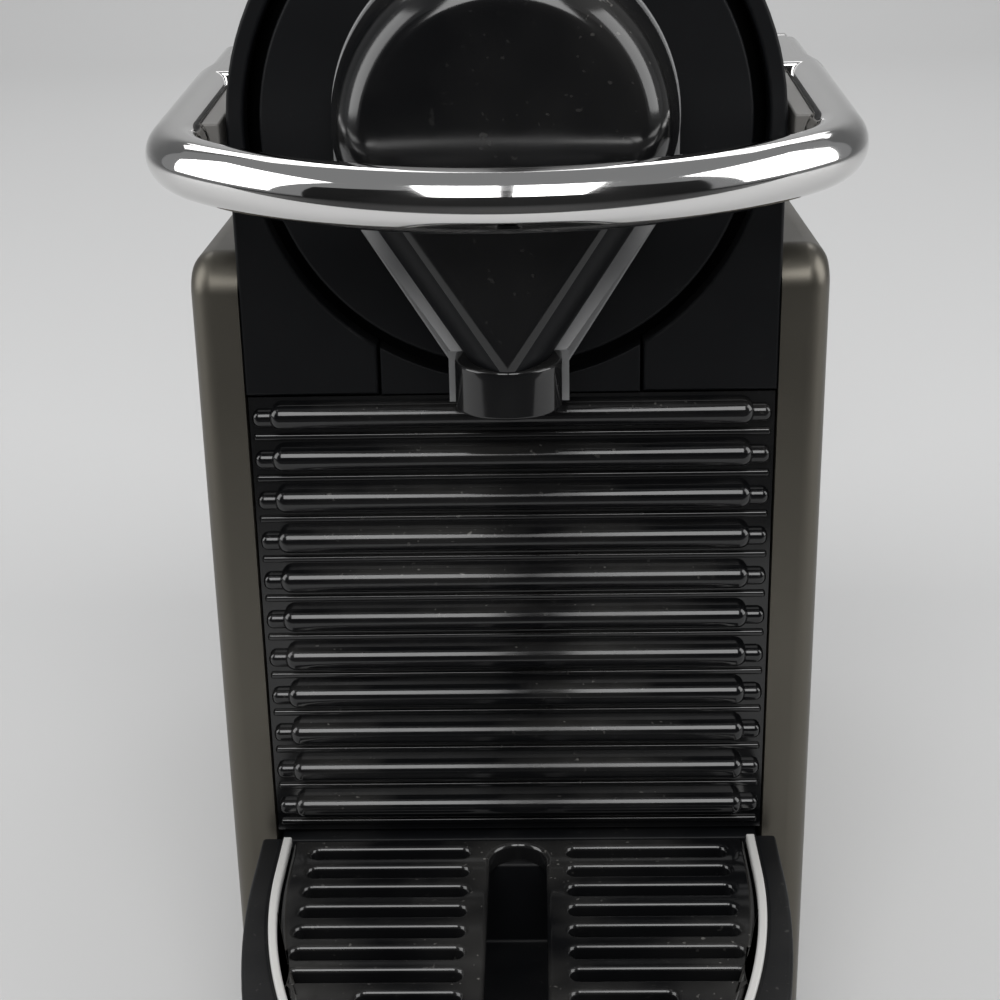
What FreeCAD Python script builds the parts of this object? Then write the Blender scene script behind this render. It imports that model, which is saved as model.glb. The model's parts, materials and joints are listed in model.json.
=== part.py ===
import FreeCAD, Part
import math
import os
import re

import Sketcher
from FreeCAD import Placement, Rotation, Vector

# Compact pod coffee machine as separate sub-components in one frame.
# The front faces -Y, X runs across, Z is up and the table is at zero. Lengths are millimetres.

os.makedirs("parts", exist_ok=True)
doc = FreeCAD.newDocument("pod_machine")
sheet = doc.addObject("Spreadsheet::Sheet", "sizes")

SIZES = {
    # Whole machine, with depths measured back from the front plane
    "front_y": -81,
    "arch_radius": 46,
    "fit_gap": 0.5,
    "run_gap": 0.05,
    # Base plate, feet and screws
    "foot_high": 3,
    "foot_radius": 7,
    "foot_in": 10,
    "foot_front": 16,
    "foot_back": 16,
    "base_thick": 9,
    "base_front": 4,
    "base_corner": 18,
    "screw_in": 6.8,
    "screw_front": 108,
    "screw_rear": 168,
    "screw_radius": 1.5,
    "screw_head": 3.2,
    "head_high": 3,
    "screw_long": 22,
    "post_wide": 4.6,
    "boss_high": 20,
    # Shell, panels and back cover
    "frame_deep": 6,
    "shell_rear": 180,
    "shell_wall": 2.5,
    "back_thick": 4,
    "panel_thick": 8.6,
    "panel_skin": 1.6,
    "panel_low": 8,
    "panel_top": 168,
    "panel_rear": 178,
    "panel_edge": 3.2,
    "panel_corner": 7,
    "vent_half": 9,
    "vent_wide": 2.4,
    "vent_pitch": 4.6,
    "vent_up": 23.5,
    "vent_count": 4,
    # Front face
    "plate_low": 143.6,
    "plate_up": 0.6,
    "ring_deep": 4,
    "ring_in": 5.5,
    "ring_gap": 2.5,
    "insert_half": 22.3,
    "shut_gap": 0.45,
    # Nose and coffee outlet
    "nose_base": 27,
    "nose_front": 20.6,
    "nose_up": 1.8,
    "nose_lean": 32.9,
    "nose_deep": 25,
    "nose_wall": 2,
    "nose_edge": 1.2,
    "rim_wide": 1.4,
    "rim_deep": 2,
    "rim_half": 10.4,
    "rim_low": 146,
    "spout_radius": 8.7,
    "spout_deep": 16,
    "spout_low": 149.8,
    "spout_top": 154.6,
    "spout_wall": 1.5,
    "neck_half": 2.9,
    "neck_deep": 11,
    "neck_top": 166,
    "coffee_bore": 2,
    "coffee_z": 161,
    # Deck and brew unit
    "deck_low": 139,
    "deck_thick": 3,
    "deck_front": 6.5,
    "deck_rear": 178,
    "chute_half": 20,
    "chute_front": 14,
    "chute_rear": 48,
    "drop_rear": 62,
    "cheek_inner": 23.5,
    "cheek_thick": 3,
    "cheek_front": 8,
    "cheek_rear": 78,
    "cheek_up": 5,
    "tie_front": 70,
    "tie_high": 8,
    "brew_z": 172,
    "capsule_front": 8,
    "capsule_rear": 16,
    "capsule_low": 146,
    "capsule_top": 195,
    "capsule_bore": 11,
    # Carriage
    "cage_half": 19.5,
    "cage_bore": 15.5,
    "cage_front": 20,
    "cage_rear": 56,
    "cage_floor": 48,
    "ear_inner": 18.5,
    "ear_thick": 4.5,
    "ear_front": 40,
    "ear_low": 166,
    "seal_thick": 2,
    "seal_wide": 3.6,
    "shutter_thick": 2.5,
    "shutter_half": 22.8,
    "shutter_front": 12,
    "shutter_rear": 50,
    # Lever
    "pivot_deep": 60,
    "pivot_up": 3,
    "tube_radius": 4.8,
    "bow_out": 7.7,
    "bow_gap": 13.5,
    "bow_corner": 23,
    "arm_long": 63,
    "arm_start": 6,
    "lever_lean": 4.4,
    "hub_radius": 8.5,
    "hub_out": 2.5,
    "hub_thick": 5,
    "hub_long": 27,
    "liner_out": 0.9,
    "liner_thick": 3.1,
    "liner_half": 3.2,
    "liner_end": 2,
    "liner_rear": 13,
    "stub_radius": 5,
    "crank_inner": 30,
    "crank_thick": 3,
    "crank_reach": 17.7,
    "crank_wide": 3.6,
    "crank_lean": 47.5,
    "pin_radius": 2.5,
    "pin_inner": 19,
    "yoke_gap": 0.9,
    "bush_half": 6,
    "bush_in": 2.5,
    "bush_out": 1.6,
    # Buttons and electronics
    "button_x": 11,
    "button_deep": 95,
    "button_radius": 8,
    "button_gap": 0.45,
    "button_drop": 13,
    "flange_radius": 9.4,
    "flange_thick": 2,
    "stem_half": 2.2,
    "stem_drop": 21.2,
    "guide_drop": 20.5,
    "guide_thick": 5,
    "guide_front": 84.5,
    "guide_rear": 110,
    "guide_half": 40,
    "board_drop": 31.5,
    "board_thick": 1.6,
    "board_half": 24,
    "switch_half": 3,
    "switch_drop": 23,
    "post_x": 20,
    "post_half": 2,
    # Drawer
    "drawer_gap": 0.9,
    "drawer_rear": 100,
    "drawer_low": 13,
    "drawer_floor": 3,
    "drawer_wall": 3,
    "ledge_z": 30,
    "apron_gap": 1,
    "apron_front": 1,
    "apron_rear": 3.5,
    "apron_top": 56,
    "step_low": 2.5,
    "step_top": 19.5,
    "step_inset": 1.5,
    "bin_gap": 1.6,
    "bin_front": 5.5,
    "bin_rear": 95,
    "bin_top": 137.5,
    "bin_wall": 2,
    "bin_slot": 1.5,
    "rib_gap": 0.3,
    "rib_low": 57,
    "rib_back": 1.2,
    "rib_pitch": 7.7,
    "rib_first": 139.8,
    "rib_count": 11,
    "rib_half": 2.2,
    "rib_out": 3.3,
    "rib_slope": 1.3,
    "rib_end_in": 3.7,
    "stub_half": 1.5,
    "stub_out": 1.8,
    "stub_slope": 0.9,
    "stub_drop": 0.4,
    "stub_in": 0.6,
    "ridge_half": 0.6,
    "ridge_out": 0.7,
    "ridge_drop": 3.9,
    # Drip tray, trim, hinge and grid
    "tray_out": 2,
    "tray_front": 82,
    "tray_rear": 3.4,
    "tray_straight": 16,
    "tray_bend": 190,
    "tray_corner": 26,
    "tray_top": 58,
    "tray_low": 21,
    "tray_rear_low": 33,
    "tray_relief": 36,
    "basin_corner": 20,
    "basin_low": 37,
    "basin_front_low": 25,
    "basin_inset": 3.4,
    "basin_step": 46,
    "rim_side": 3.9,
    "rim_front": 5.5,
    "inner_bend": 125,
    "inner_corner": 22,
    "grid_inset": 2.1,
    "grid_low": 54,
    "grid_top": 57.6,
    "grid_gap": 0.3,
    "grid_first": 6.8,
    "grid_pitch": 6.27,
    "grid_rows": 7,
    "grid_slot": 3.2,
    "grid_inner": 9,
    "grid_side": 3.7,
    "grid_short": 26,
    "grid_short_rows": 3,
    "grid_mid": 5.2,
    "grid_mid_rear": 5.6,
    "grid_mid_front": 70,
    "trim_wide": 1.5,
    "trim_high": 1.8,
    "trim_proud": 0.2,
    "hinge_deep": 20,
    "hinge_z": 50,
    "hinge_radius": 2,
    "knuckle_radius": 4,
    "knuckle_gap": 0.4,
    "lug_in": 3.8,
    "lug_thick": 3.3,
    "lug_low": 21.5,
    "lug_foot": 5.5,
    "boss_in": 11,
    "boss_half": 5,
    "pin_in": 0.8,
    # Water tank and lid
    "tank_gap": 2,
    "tank_rear": 244,
    "tank_in": 2,
    "tank_low": 12.6,
    "tank_top": 205,
    "tank_wall": 2.4,
    "tank_floor": 22,
    "tank_corner": 19,
    "notch_half": 6,
    "notch_top": 21,
    "valve_radius": 6,
    "valve_low": 14,
    "valve_top": 31,
    "valve_flange": 9,
    "socket_half": 10.5,
    "socket_bore": 6.6,
    "socket_top": 20,
    "lid_thick": 4,
    "lid_plug": 4,
    "lid_gap": 1.2,
    "lid_axis_in": 5,
    "lid_pin_radius": 1.2,
    "lid_pin_out": 2.5,
    "lid_lug_x": 17,
    "lid_lug_thick": 4,
    "lid_lug_low": 6,
    # Water circuit and cord inlet
    "pump_deep": 146,
    "pump_half": 16,
    "pump_low": 44,
    "pump_top": 106,
    "port_radius": 5,
    "port_long": 8,
    "mount_low": 54,
    "mount_high": 88,
    "mount_thick": 4,
    "mount_front": 126,
    "mount_rear": 166,
    "mount_gap": 0.2,
    "meter_in": 11,
    "meter_radius": 8,
    "meter_high": 12,
    "hose_radius": 2.6,
    "elbow_half": 3.2,
    "hose_low": 16.5,
    "hose_turn": 31,
    "heater_half": 28,
    "heater_front": 112,
    "heater_rear": 172,
    "heater_low": 150,
    "heater_top": 190,
    "heater_leg": 4,
    "heater_leg_x": 22,
    "heater_leg_in": 8,
    "gland_in": 32,
    "gland_radius": 4.2,
    "gland_bore": 2.6,
    "gland_out": 4,
}

# Sizes that follow from others
DERIVED = {
    "arch_z": "plate_low + arch_radius - plate_up",
    "nose_z": "arch_z + nose_up",
    "pivot_z": "arch_z + pivot_up",
    "vent_low": "arch_z + vent_up",
    "cheek_top": "pivot_z + cheek_up",
    "bow_reach": "pivot_deep + nose_deep + bow_gap - arm_long",
    "arch_top": "arch_z + arch_radius",
    "inner_radius": "arch_radius - shell_wall",
    "base_top": "foot_high + base_thick",
    "base_rear": "tank_rear",
    "foot_x": "arch_radius - foot_in",
    "foot_rear": "base_rear - foot_back",
    "screw_x": "arch_radius - screw_in",
    "disc_radius": "arch_radius - ring_in",
    "bow_half": "arch_radius + bow_out",
    "hub_inner": "arch_radius + hub_out",
    "liner_inner": "arch_radius + liner_out",
    "liner_outer": "liner_inner + liner_thick",
    "liner_front": "arm_long - liner_end",
    "bush_inner": "inner_radius - bush_in",
    "bush_outer": "arch_radius + bush_out",
    "button_low": "arch_top - button_drop",
    "stem_low": "arch_top - stem_drop",
    "guide_low": "arch_top - guide_drop",
    "board_low": "arch_top - board_drop",
    "switch_top": "arch_top - switch_drop",
    "drawer_half": "inner_radius - drawer_gap",
    "bin_half": "drawer_half - bin_gap",
    "apron_half": "arch_radius - apron_gap",
    "rib_wide": "arch_radius - rib_gap",
    "rib_end": "rib_wide - rib_end_in",
    "stub_end": "rib_wide - stub_in",
    "tank_front": "shell_rear + back_thick + tank_gap",
    "tank_half": "arch_radius - tank_in",
    "valve_deep": "(tank_front + tank_rear) / 2",
    "meter_deep": "shell_rear - meter_in",
    "gland_deep": "tank_rear - gland_in",
    # Tray rim and the curve inside it, each a gentle bend run into a round corner
    "tray_half": "arch_radius + tray_out",
    "inner_half": "tray_half - rim_side",
    "inner_front": "tray_front - rim_front",
    "grid_outer": "inner_half - grid_inset - grid_side",
    "lug_inner": "tray_half - lug_in",
    "hinge_boss": "tray_half - boss_in",
    "pin_end": "tray_half - pin_in",
}
for curve in ("tray", "inner"):
    run = "%s_bend - %s_corner" % (curve, curve)
    rise = "%s_front - %s_corner - tray_straight" % (curve, curve)
    DERIVED[curve + "_bend_x"] = "%s_half - %s_bend" % (curve, curve)
    DERIVED[curve + "_slope_y"] = "(%s) / (%s)" % (rise, run)
    DERIVED[curve + "_slope_x"] = "sqrt(1 - %s_slope_y ^ 2)" % curve
    DERIVED[curve + "_corner_x"] = "%s_bend_x + %s_slope_x * (%s)" % (curve, curve, run)

row = 0
for name, number in SIZES.items():
    row += 1
    sheet.set("A%d" % row, name)
    sheet.set("B%d" % row, str(number))
    sheet.setAlias("B%d" % row, name)
for name, rule in DERIVED.items():
    row += 1
    sheet.set("A%d" % row, name)
    sheet.set("B%d" % row, "=" + rule)
    sheet.setAlias("B%d" % row, name)
doc.recompute()

nodes = []
HEX_SIDES = 6
ROUND_SIDES = 16
RING_SIDES = 24
TUBE_SIDES = 12
PLANES = {"x": "YZ_Plane", "y": "XZ_Plane", "z": "XY_Plane"}
TURNS = {
    "x": Rotation(Vector(0, 1, 0), 90),
    "y": Rotation(Vector(1, 0, 0), -90),
    "z": Rotation(),
}


def size(name):
    """One size as a number, read from the sheet."""
    return float(getattr(sheet, name))


def value(text):
    """The number that an expression gives."""
    return float(sheet.evalExpression(bound(text)))


def bound(text):
    """Points every size name in an expression at its cell."""
    return re.sub(r"\b([a-z]+(?:_[a-z]+)+)\b", r"sizes.\1", str(text))


def both(half):
    """Bounds at equal distances either side of the middle plane."""
    return "-(%s)" % half, "(%s)" % half


def back(distance):
    """A position measured back from the front plane."""
    return "(front_y + (%s))" % distance


def ahead(distance):
    """A position measured forward of the front plane."""
    return "(front_y - (%s))" % distance


# Drawing outlines


def corners(*points):
    """An outline of straight lines through corners, each held by two sizes."""

    def draw(sketch):
        count = len(points)
        spots = []
        for index in range(count):
            turn = 2 * math.pi * index / count
            spots.append(Vector(math.cos(turn), math.sin(turn), 0))
        for index in range(count):
            line = Part.LineSegment(spots[index], spots[(index + 1) % count])
            sketch.addGeometry(line, False)
        for index in range(count):
            join = Sketcher.Constraint("Coincident", index, 2, (index + 1) % count, 1)
            sketch.addConstraint(join)
        for index, point in enumerate(points):
            hold(sketch, "DistanceX", (-1, 1, index, 1), spots[index].x, point[0])
            hold(sketch, "DistanceY", (-1, 1, index, 1), spots[index].y, point[1])

    return draw


def area(across, along):
    """A rectangle between two pairs of bounds."""
    low, high = across
    near, far = along
    return corners((low, near), (high, near), (high, far), (low, far))


def square(across, along, half):
    """A square about a centre."""
    return area(
        ("%s - (%s)" % (across, half), "%s + (%s)" % (across, half)),
        ("%s - (%s)" % (along, half), "%s + (%s)" % (along, half)),
    )


def rounded_end(half, flat, curved, radius, way):
    """An outline with one square end and one end with round corners, pointing down or up by the way."""
    side = float(way)
    wide, near, far, bend = 40.0, 0.0, 80.0 * side, 30.0
    shoulder = far - bend * side
    spots = [
        Vector(-wide, near, 0),
        Vector(wide, near, 0),
        Vector(wide, shoulder, 0),
        Vector(wide - bend, far, 0),
        Vector(bend - wide, far, 0),
        Vector(-wide, shoulder, 0),
    ]
    shoulder_text = "(%s) - %s * (%s)" % (curved, way, radius)
    inner_text = "(%s) - (%s)" % (half, radius)
    texts = [
        ("-(%s)" % half, flat),
        (half, flat),
        (half, shoulder_text),
        (inner_text, curved),
        ("-(%s)" % inner_text, curved),
        ("-(%s)" % half, shoulder_text),
    ]
    # Line ends by corner, and the arc ends that meet them
    first, last = (1, 2) if side > 0 else (2, 1)
    joins = [
        (0, 2, 1, 1),
        (1, 2, 2, first),
        (2, last, 3, 1),
        (3, 2, 4, first),
        (4, last, 5, 1),
        (5, 2, 0, 1),
    ]
    holds = [(0, 1), (0, 2), (1, 2), (3, 1), (3, 2), (5, 1)]

    def quarter(centre, start):
        """A quarter circle from a starting angle in quarter turns."""
        ring = Part.Circle(centre, Vector(0, 0, 1), bend)
        return Part.ArcOfCircle(ring, start * math.pi / 2, (start + 1) * math.pi / 2)

    def draw(sketch):
        right = Vector(wide - bend, shoulder, 0)
        left = Vector(bend - wide, shoulder, 0)
        sketch.addGeometry(Part.LineSegment(spots[0], spots[1]), False)
        sketch.addGeometry(Part.LineSegment(spots[1], spots[2]), False)
        sketch.addGeometry(quarter(right, 0 if side > 0 else 3), False)
        sketch.addGeometry(Part.LineSegment(spots[3], spots[4]), False)
        sketch.addGeometry(quarter(left, 1 if side > 0 else 2), False)
        sketch.addGeometry(Part.LineSegment(spots[5], spots[0]), False)
        for join in joins:
            sketch.addConstraint(Sketcher.Constraint("Coincident", *join))
        for (line, end), spot, text in zip(holds, spots, texts):
            hold(sketch, "DistanceX", (-1, 1, line, end), spot.x, text[0])
            hold(sketch, "DistanceY", (-1, 1, line, end), spot.y, text[1])
        hold(sketch, "DistanceX", (-1, 1, 2, 3), right.x, inner_text)
        hold(sketch, "DistanceX", (-1, 1, 4, 3), left.x, "-(%s)" % inner_text)

    return draw


def bent_end(curve, inset, rear):
    """An outline with a square rear, sides that bend in gently and round front corners."""
    bend = "(%s_bend - (%s))" % (curve, inset)
    side = "(%s_half - (%s))" % (curve, inset)
    join = "(%s_bend_x + %s_slope_x * %s)" % (curve, curve, bend)
    join_y = ahead("tray_straight + %s_slope_y * %s" % (curve, bend))
    corner = "%s_corner_x" % curve
    front = ahead("%s_front - (%s)" % (curve, inset))
    straight = ahead("tray_straight")
    right = [(side, rear), (side, straight), (join, join_y), (corner, front)]
    left = [("-(%s)" % x, y) for x, y in right]
    spots = {}
    for name, points in (("right", right), ("left", left)):
        spots[name] = [Vector(value(x), value(y), 0) for x, y in points]
    centres = ("%s_bend_x" % curve, corner)
    levels = (straight, ahead("%s_front - %s_corner" % (curve, curve)))

    def arc(name, centre, first, last):
        """An arc between two spots of one side, turning left."""
        sign = 1 if name == "right" else -1
        middle = Vector(sign * value(centres[centre]), value(levels[centre]), 0)
        start = spots[name][first] - middle
        end = spots[name][last] - middle
        ring = Part.Circle(middle, Vector(0, 0, 1), start.Length)
        return Part.ArcOfCircle(ring, math.atan2(start.y, start.x), math.atan2(end.y, end.x))

    def draw(sketch):
        ends = [spots["left"][0], spots["right"][0], spots["right"][1], spots["right"][3]]
        sketch.addGeometry(Part.LineSegment(ends[0], ends[1]), False)
        sketch.addGeometry(Part.LineSegment(ends[1], ends[2]), False)
        sketch.addGeometry(arc("right", 0, 2, 1), False)
        sketch.addGeometry(arc("right", 1, 3, 2), False)
        sketch.addGeometry(Part.LineSegment(ends[3], spots["left"][3]), False)
        sketch.addGeometry(arc("left", 1, 2, 3), False)
        sketch.addGeometry(arc("left", 0, 1, 2), False)
        sketch.addGeometry(Part.LineSegment(spots["left"][1], ends[0]), False)
        for join_ends in (
            (0, 2, 1, 1),
            (1, 2, 2, 2),
            (2, 1, 3, 2),
            (3, 1, 4, 1),
            (4, 2, 5, 2),
            (5, 1, 6, 2),
            (6, 1, 7, 1),
            (7, 2, 0, 1),
        ):
            sketch.addConstraint(Sketcher.Constraint("Coincident", *join_ends))
        places = {"right": ((0, 2), (1, 2), (2, 1), (4, 1)), "left": ((0, 1), (7, 1), (5, 1), (4, 2))}
        for name, texts in (("right", right), ("left", left)):
            for place, spot, (x, y) in zip(places[name], spots[name], texts):
                hold(sketch, "DistanceX", (-1, 1, *place), spot.x, x)
                hold(sketch, "DistanceY", (-1, 1, *place), spot.y, y)
        for shape, sign, centre in ((2, "1", 0), (3, "1", 1), (5, "-1", 1), (6, "-1", 0)):
            text = "%s * %s" % (sign, centres[centre])
            hold(sketch, "DistanceX", (-1, 1, shape, 3), value(text), text)

    return draw


def disc(across, along, radius):
    """A circle about a centre."""

    def draw(sketch):
        sketch.addGeometry(Part.Circle(Vector(1, 1, 0), Vector(0, 0, 1), 1), False)
        hold(sketch, "DistanceX", (-1, 1, 0, 3), 1, across)
        hold(sketch, "DistanceY", (-1, 1, 0, 3), 1, along)
        hold(sketch, "Radius", (0,), 1, radius)

    return draw


def middle_disc(along, radius):
    """A circle centred on the middle plane."""

    def draw(sketch):
        sketch.addGeometry(Part.Circle(Vector(0, 1, 0), Vector(0, 0, 1), 1), False)
        sketch.addConstraint(Sketcher.Constraint("PointOnObject", 0, 3, -2))
        hold(sketch, "DistanceY", (-1, 1, 0, 3), 1, along)
        hold(sketch, "Radius", (0,), 1, radius)

    return draw


def hold(sketch, kind, items, guess, text):
    """A sized constraint whose value follows an expression."""
    index = sketch.addConstraint(Sketcher.Constraint(kind, *items, guess))
    sketch.setExpression("Constraints[%d]" % index, bound(text))


# Building pieces from outlines


class Piece:
    """One sub-component grown from outlines pushed along an axis."""

    def __init__(self, label):
        self.body = doc.addObject("PartDesign::Body", label)
        self.body.Label = label
        nodes.append(self.body)

    def outline(self, axis, draw, level):
        """An outline across an axis, at a level on it."""
        sketch = self.body.newObject("Sketcher::SketchObject", "outline")
        for plane in self.body.Origin.OriginFeatures:
            if plane.Role == PLANES[axis]:
                sketch.AttachmentSupport = [(plane, "")]
        sketch.MapMode = "FlatFace"
        sign = "-" if axis == "y" else ""
        sketch.setExpression(".AttachmentOffset.Base.z", bound("%s(%s)" % (sign, level)))
        draw(sketch)
        return sketch

    def add(self, axis, draw, low, high):
        """Material between two levels on an axis."""
        sketch = self.outline(axis, draw, high if axis == "y" else low)
        feature = self.body.newObject("PartDesign::Pad", "pad")
        feature.Profile = sketch
        feature.setExpression("Length", bound("(%s) - (%s)" % (high, low)))
        return feature

    def take(self, axis, draw, low, high):
        """Material removed between two levels on an axis."""
        sketch = self.outline(axis, draw, low if axis == "y" else high)
        feature = self.body.newObject("PartDesign::Pocket", "pocket")
        feature.Profile = sketch
        feature.setExpression("Length", bound("(%s) - (%s)" % (high, low)))
        return feature

    def repeat(self, features, axis, pitch, count, backwards=False):
        """Features repeated along an axis of the piece."""
        pattern = self.body.newObject("PartDesign::LinearPattern", "row")
        pattern.Originals = features
        for line in self.body.Origin.OriginFeatures:
            if line.Role == axis.upper() + "_Axis":
                pattern.Direction = (line, [""])
        pattern.Reversed = backwards
        pattern.setExpression("Length", bound("(%s) * ((%s) - 1)" % (pitch, count)))
        pattern.setExpression("Occurrences", bound(count))
        self.body.Tip = pattern
        return pattern

    def edges(self, wanted):
        """The last feature with the names of its edges that are wanted."""
        doc.recompute()
        tip = self.body.Tip
        names = []
        for index, edge in enumerate(tip.Shape.Edges, 1):
            if wanted(edge):
                names.append("Edge%d" % index)
        return tip, names

    def soften(self, radius, wanted):
        """A rounding along every edge that is wanted."""
        base = self.edges(wanted)
        feature = self.body.newObject("PartDesign::Fillet", "rounding")
        feature.Base = base
        feature.setExpression("Radius", bound(radius))

    def slope(self, width, wanted):
        """A sloping flat along every edge that is wanted."""
        base = self.edges(wanted)
        feature = self.body.newObject("PartDesign::Chamfer", "slope")
        feature.Base = base
        feature.setExpression("Size", bound(width))


def runs(edge, axis):
    """Tells whether an edge is a straight line along an axis."""
    box = edge.BoundBox
    lengths = {"x": box.XLength, "y": box.YLength, "z": box.ZLength}
    return all(length < 1e-6 for key, length in lengths.items() if key != axis)


def flat_at(edge, axis, level):
    """Tells whether an edge lies wholly at one level on an axis."""
    box = edge.BoundBox
    spans = {"x": (box.XMin, box.XMax), "y": (box.YMin, box.YMax), "z": (box.ZMin, box.ZMax)}
    return all(abs(value - level) < 1e-4 for value in spans[axis])


# Building pieces from plain solids


def block(across, along, upright):
    """A box between two bounds on each axis."""
    box = doc.addObject("Part::Box", "block")
    sides = (("Length", "x", across), ("Width", "y", along), ("Height", "z", upright))
    for side, axis, (low, high) in sides:
        box.setExpression(side, bound("(%s) - (%s)" % (high, low)))
        box.setExpression(".Placement.Base." + axis, bound(low))
    return box


def set_along(bar, axis, low, high, first, second):
    """Lays a bar along an axis between two levels."""
    bar.Placement = Placement(Vector(), TURNS[axis])
    bar.setExpression("Height", bound("(%s) - (%s)" % (high, low)))
    others = [name for name in "xyz" if name != axis]
    centre = {axis: low, others[0]: first, others[1]: second}
    for name, text in centre.items():
        bar.setExpression(".Placement.Base." + name, bound(text))
    return bar


def rod(axis, radius, low, high, first, second):
    """A round bar along an axis. The centre is given on the two other axes in order."""
    bar = doc.addObject("Part::Cylinder", "rod")
    bar.setExpression("Radius", bound(radius))
    return set_along(bar, axis, low, high, first, second)


def prism(sides, axis, radius, low, high, first, second):
    """A bar with flat sides along an axis. The centre is given on the two other axes in order."""
    bar = doc.addObject("Part::Prism", "prism")
    bar.Polygon = sides
    bar.setExpression("Circumradius", bound(radius))
    return set_along(bar, axis, low, high, first, second)


def fuse(*solids):
    """Solids made one."""
    if len(solids) == 1:
        return solids[0]
    whole = doc.addObject("Part::MultiFuse", "whole")
    whole.Shapes = list(solids)
    return whole


def cut(solid, *tools):
    """A solid less others."""
    rest = doc.addObject("Part::Cut", "rest")
    rest.Base = solid
    rest.Tool = fuse(*tools)
    return rest


def shared(first, second):
    """What two solids have in common."""
    overlap = doc.addObject("Part::Common", "overlap")
    overlap.Base = first
    overlap.Tool = second
    return overlap


def keep(label, solid):
    """Marks a solid as a sub-component."""
    solid.Label = label
    nodes.append(solid)
    return solid


def pairs(make):
    """The same solid on the left and the right, made by a function of the side's sign."""
    return [make(sign) for sign in ("-1", "1")]


def side_bounds(sign, inner, outer):
    """Bounds across on one side, in rising order."""
    if sign == "1":
        return inner, outer
    return "-(%s)" % outer, "-(%s)" % inner


def hung(solid, lean):
    """Sets a solid drawn about the lever pivot at the pivot, leaning forward by an angle."""
    solid.Placement = Placement(Vector(), Rotation(Vector(1, 0, 0), size(lean)))
    solid.setExpression(".Placement.Rotation.Angle", bound(lean))
    solid.setExpression(".Placement.Base.y", bound(back("pivot_deep")))
    solid.setExpression(".Placement.Base.z", bound("pivot_z"))
    return solid


# Base plate, feet and screws

base = Piece("base_plate")
base.add("z", area(both("arch_radius"), (back("base_front"), back("base_rear"))), "foot_high", "base_top")
base.soften("base_corner", lambda edge: runs(edge, "z") and edge.CenterOfMass.y > 0)
for sign in ("-1", "1"):
    for deep in ("screw_front", "screw_rear"):
        spot = ("%s * screw_x" % sign, back(deep))
        pocket = square(*spot, "screw_head + shut_gap")
        base.take("z", pocket, "foot_high", "foot_high + head_high + fit_gap")
        base.take("z", disc(*spot, "screw_radius + shut_gap"), "foot_high", "base_top")

feet = []
screws = []
for sign in ("-1", "1"):
    for deep in ("foot_front", "foot_rear"):
        spot = ("%s * foot_x" % sign, back(deep))
        feet.append(prism(ROUND_SIDES, "z", "foot_radius", "0", "foot_high", *spot))
    for deep in ("screw_front", "screw_rear"):
        spot = ("%s * screw_x" % sign, back(deep))
        seat = "foot_high + fit_gap"
        screws.append(prism(HEX_SIDES, "z", "screw_head", seat, seat + " + head_high", *spot))
        screws.append(prism(ROUND_SIDES, "z", "screw_radius", seat, seat + " + screw_long", *spot))
keep("rubber_feet", fuse(*feet))
keep("base_screws", fuse(*screws))

# Arched shell with the capsule chute, button holes and lever holes

shell = Piece("body_shell")
shell_span = (back("frame_deep"), back("shell_rear"))
shell.add("y", middle_disc("arch_z", "arch_radius"), *shell_span)
shell.add("y", area(both("arch_radius"), ("base_top", "arch_z")), *shell_span)
shell.take("y", middle_disc("arch_z", "inner_radius"), *shell_span)
shell.take("y", area(both("inner_radius"), ("base_top", "arch_z")), *shell_span)
for sign in ("-1", "1"):
    for deep in ("screw_front", "screw_rear"):
        spot = ("%s * screw_x" % sign, back(deep))
        shell.add("z", square(*spot, "post_wide"), "base_top", "base_top + boss_high")
        shell.take("z", disc(*spot, "screw_radius + run_gap"), "base_top", "base_top + boss_high")
    spot = ("%s * button_x" % sign, back("button_deep"))
    shell.take("z", disc(*spot, "button_radius + button_gap"), "arch_z", "arch_z + arch_radius")
chute = area(both("chute_half"), (back("chute_front"), back("chute_rear")))
shell.take("z", chute, "arch_z", "arch_z + arch_radius")
shell.take("x", square(back("pivot_deep"), "pivot_z", "bush_half"), *both("arch_radius"))

# Side panels as thin-walled pans

for label, sign in (("side_panel_left", "-1"), ("side_panel_right", "1")):
    outer = "arch_radius + panel_thick"
    panel = Piece(label)
    side = area((back("0"), back("panel_rear")), ("panel_low", "panel_top"))
    panel.add("x", side, *side_bounds(sign, "arch_radius", outer))
    panel.soften("panel_corner", lambda edge: runs(edge, "x"))
    face = float(sign) * (size("arch_radius") + size("panel_thick"))
    panel.slope("panel_edge", lambda edge: flat_at(edge, "x", face))
    hollow = area(
        (back("panel_edge"), back("panel_rear - panel_edge")),
        ("panel_low + panel_edge", "panel_top - panel_edge"),
    )
    panel.take("x", hollow, *side_bounds(sign, "arch_radius", outer + " - panel_skin"))

# Back cover with a row of vents above the tank

cover = Piece("back_cover")
cover_span = (back("shell_rear"), back("shell_rear + back_thick"))
cover.add("y", middle_disc("arch_z", "arch_radius"), *cover_span)
cover.add("y", area(both("arch_radius"), ("base_top", "arch_z")), *cover_span)
cover.take("y", area(both("notch_half"), ("base_top", "notch_top")), *cover_span)
vent = cover.take("y", area(both("vent_half"), ("vent_low", "vent_low + vent_wide")), *cover_span)
cover.repeat([vent], "z", "vent_pitch", "vent_count")

# Front frame, the round disc set in it and the insert under the ring groove

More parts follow.
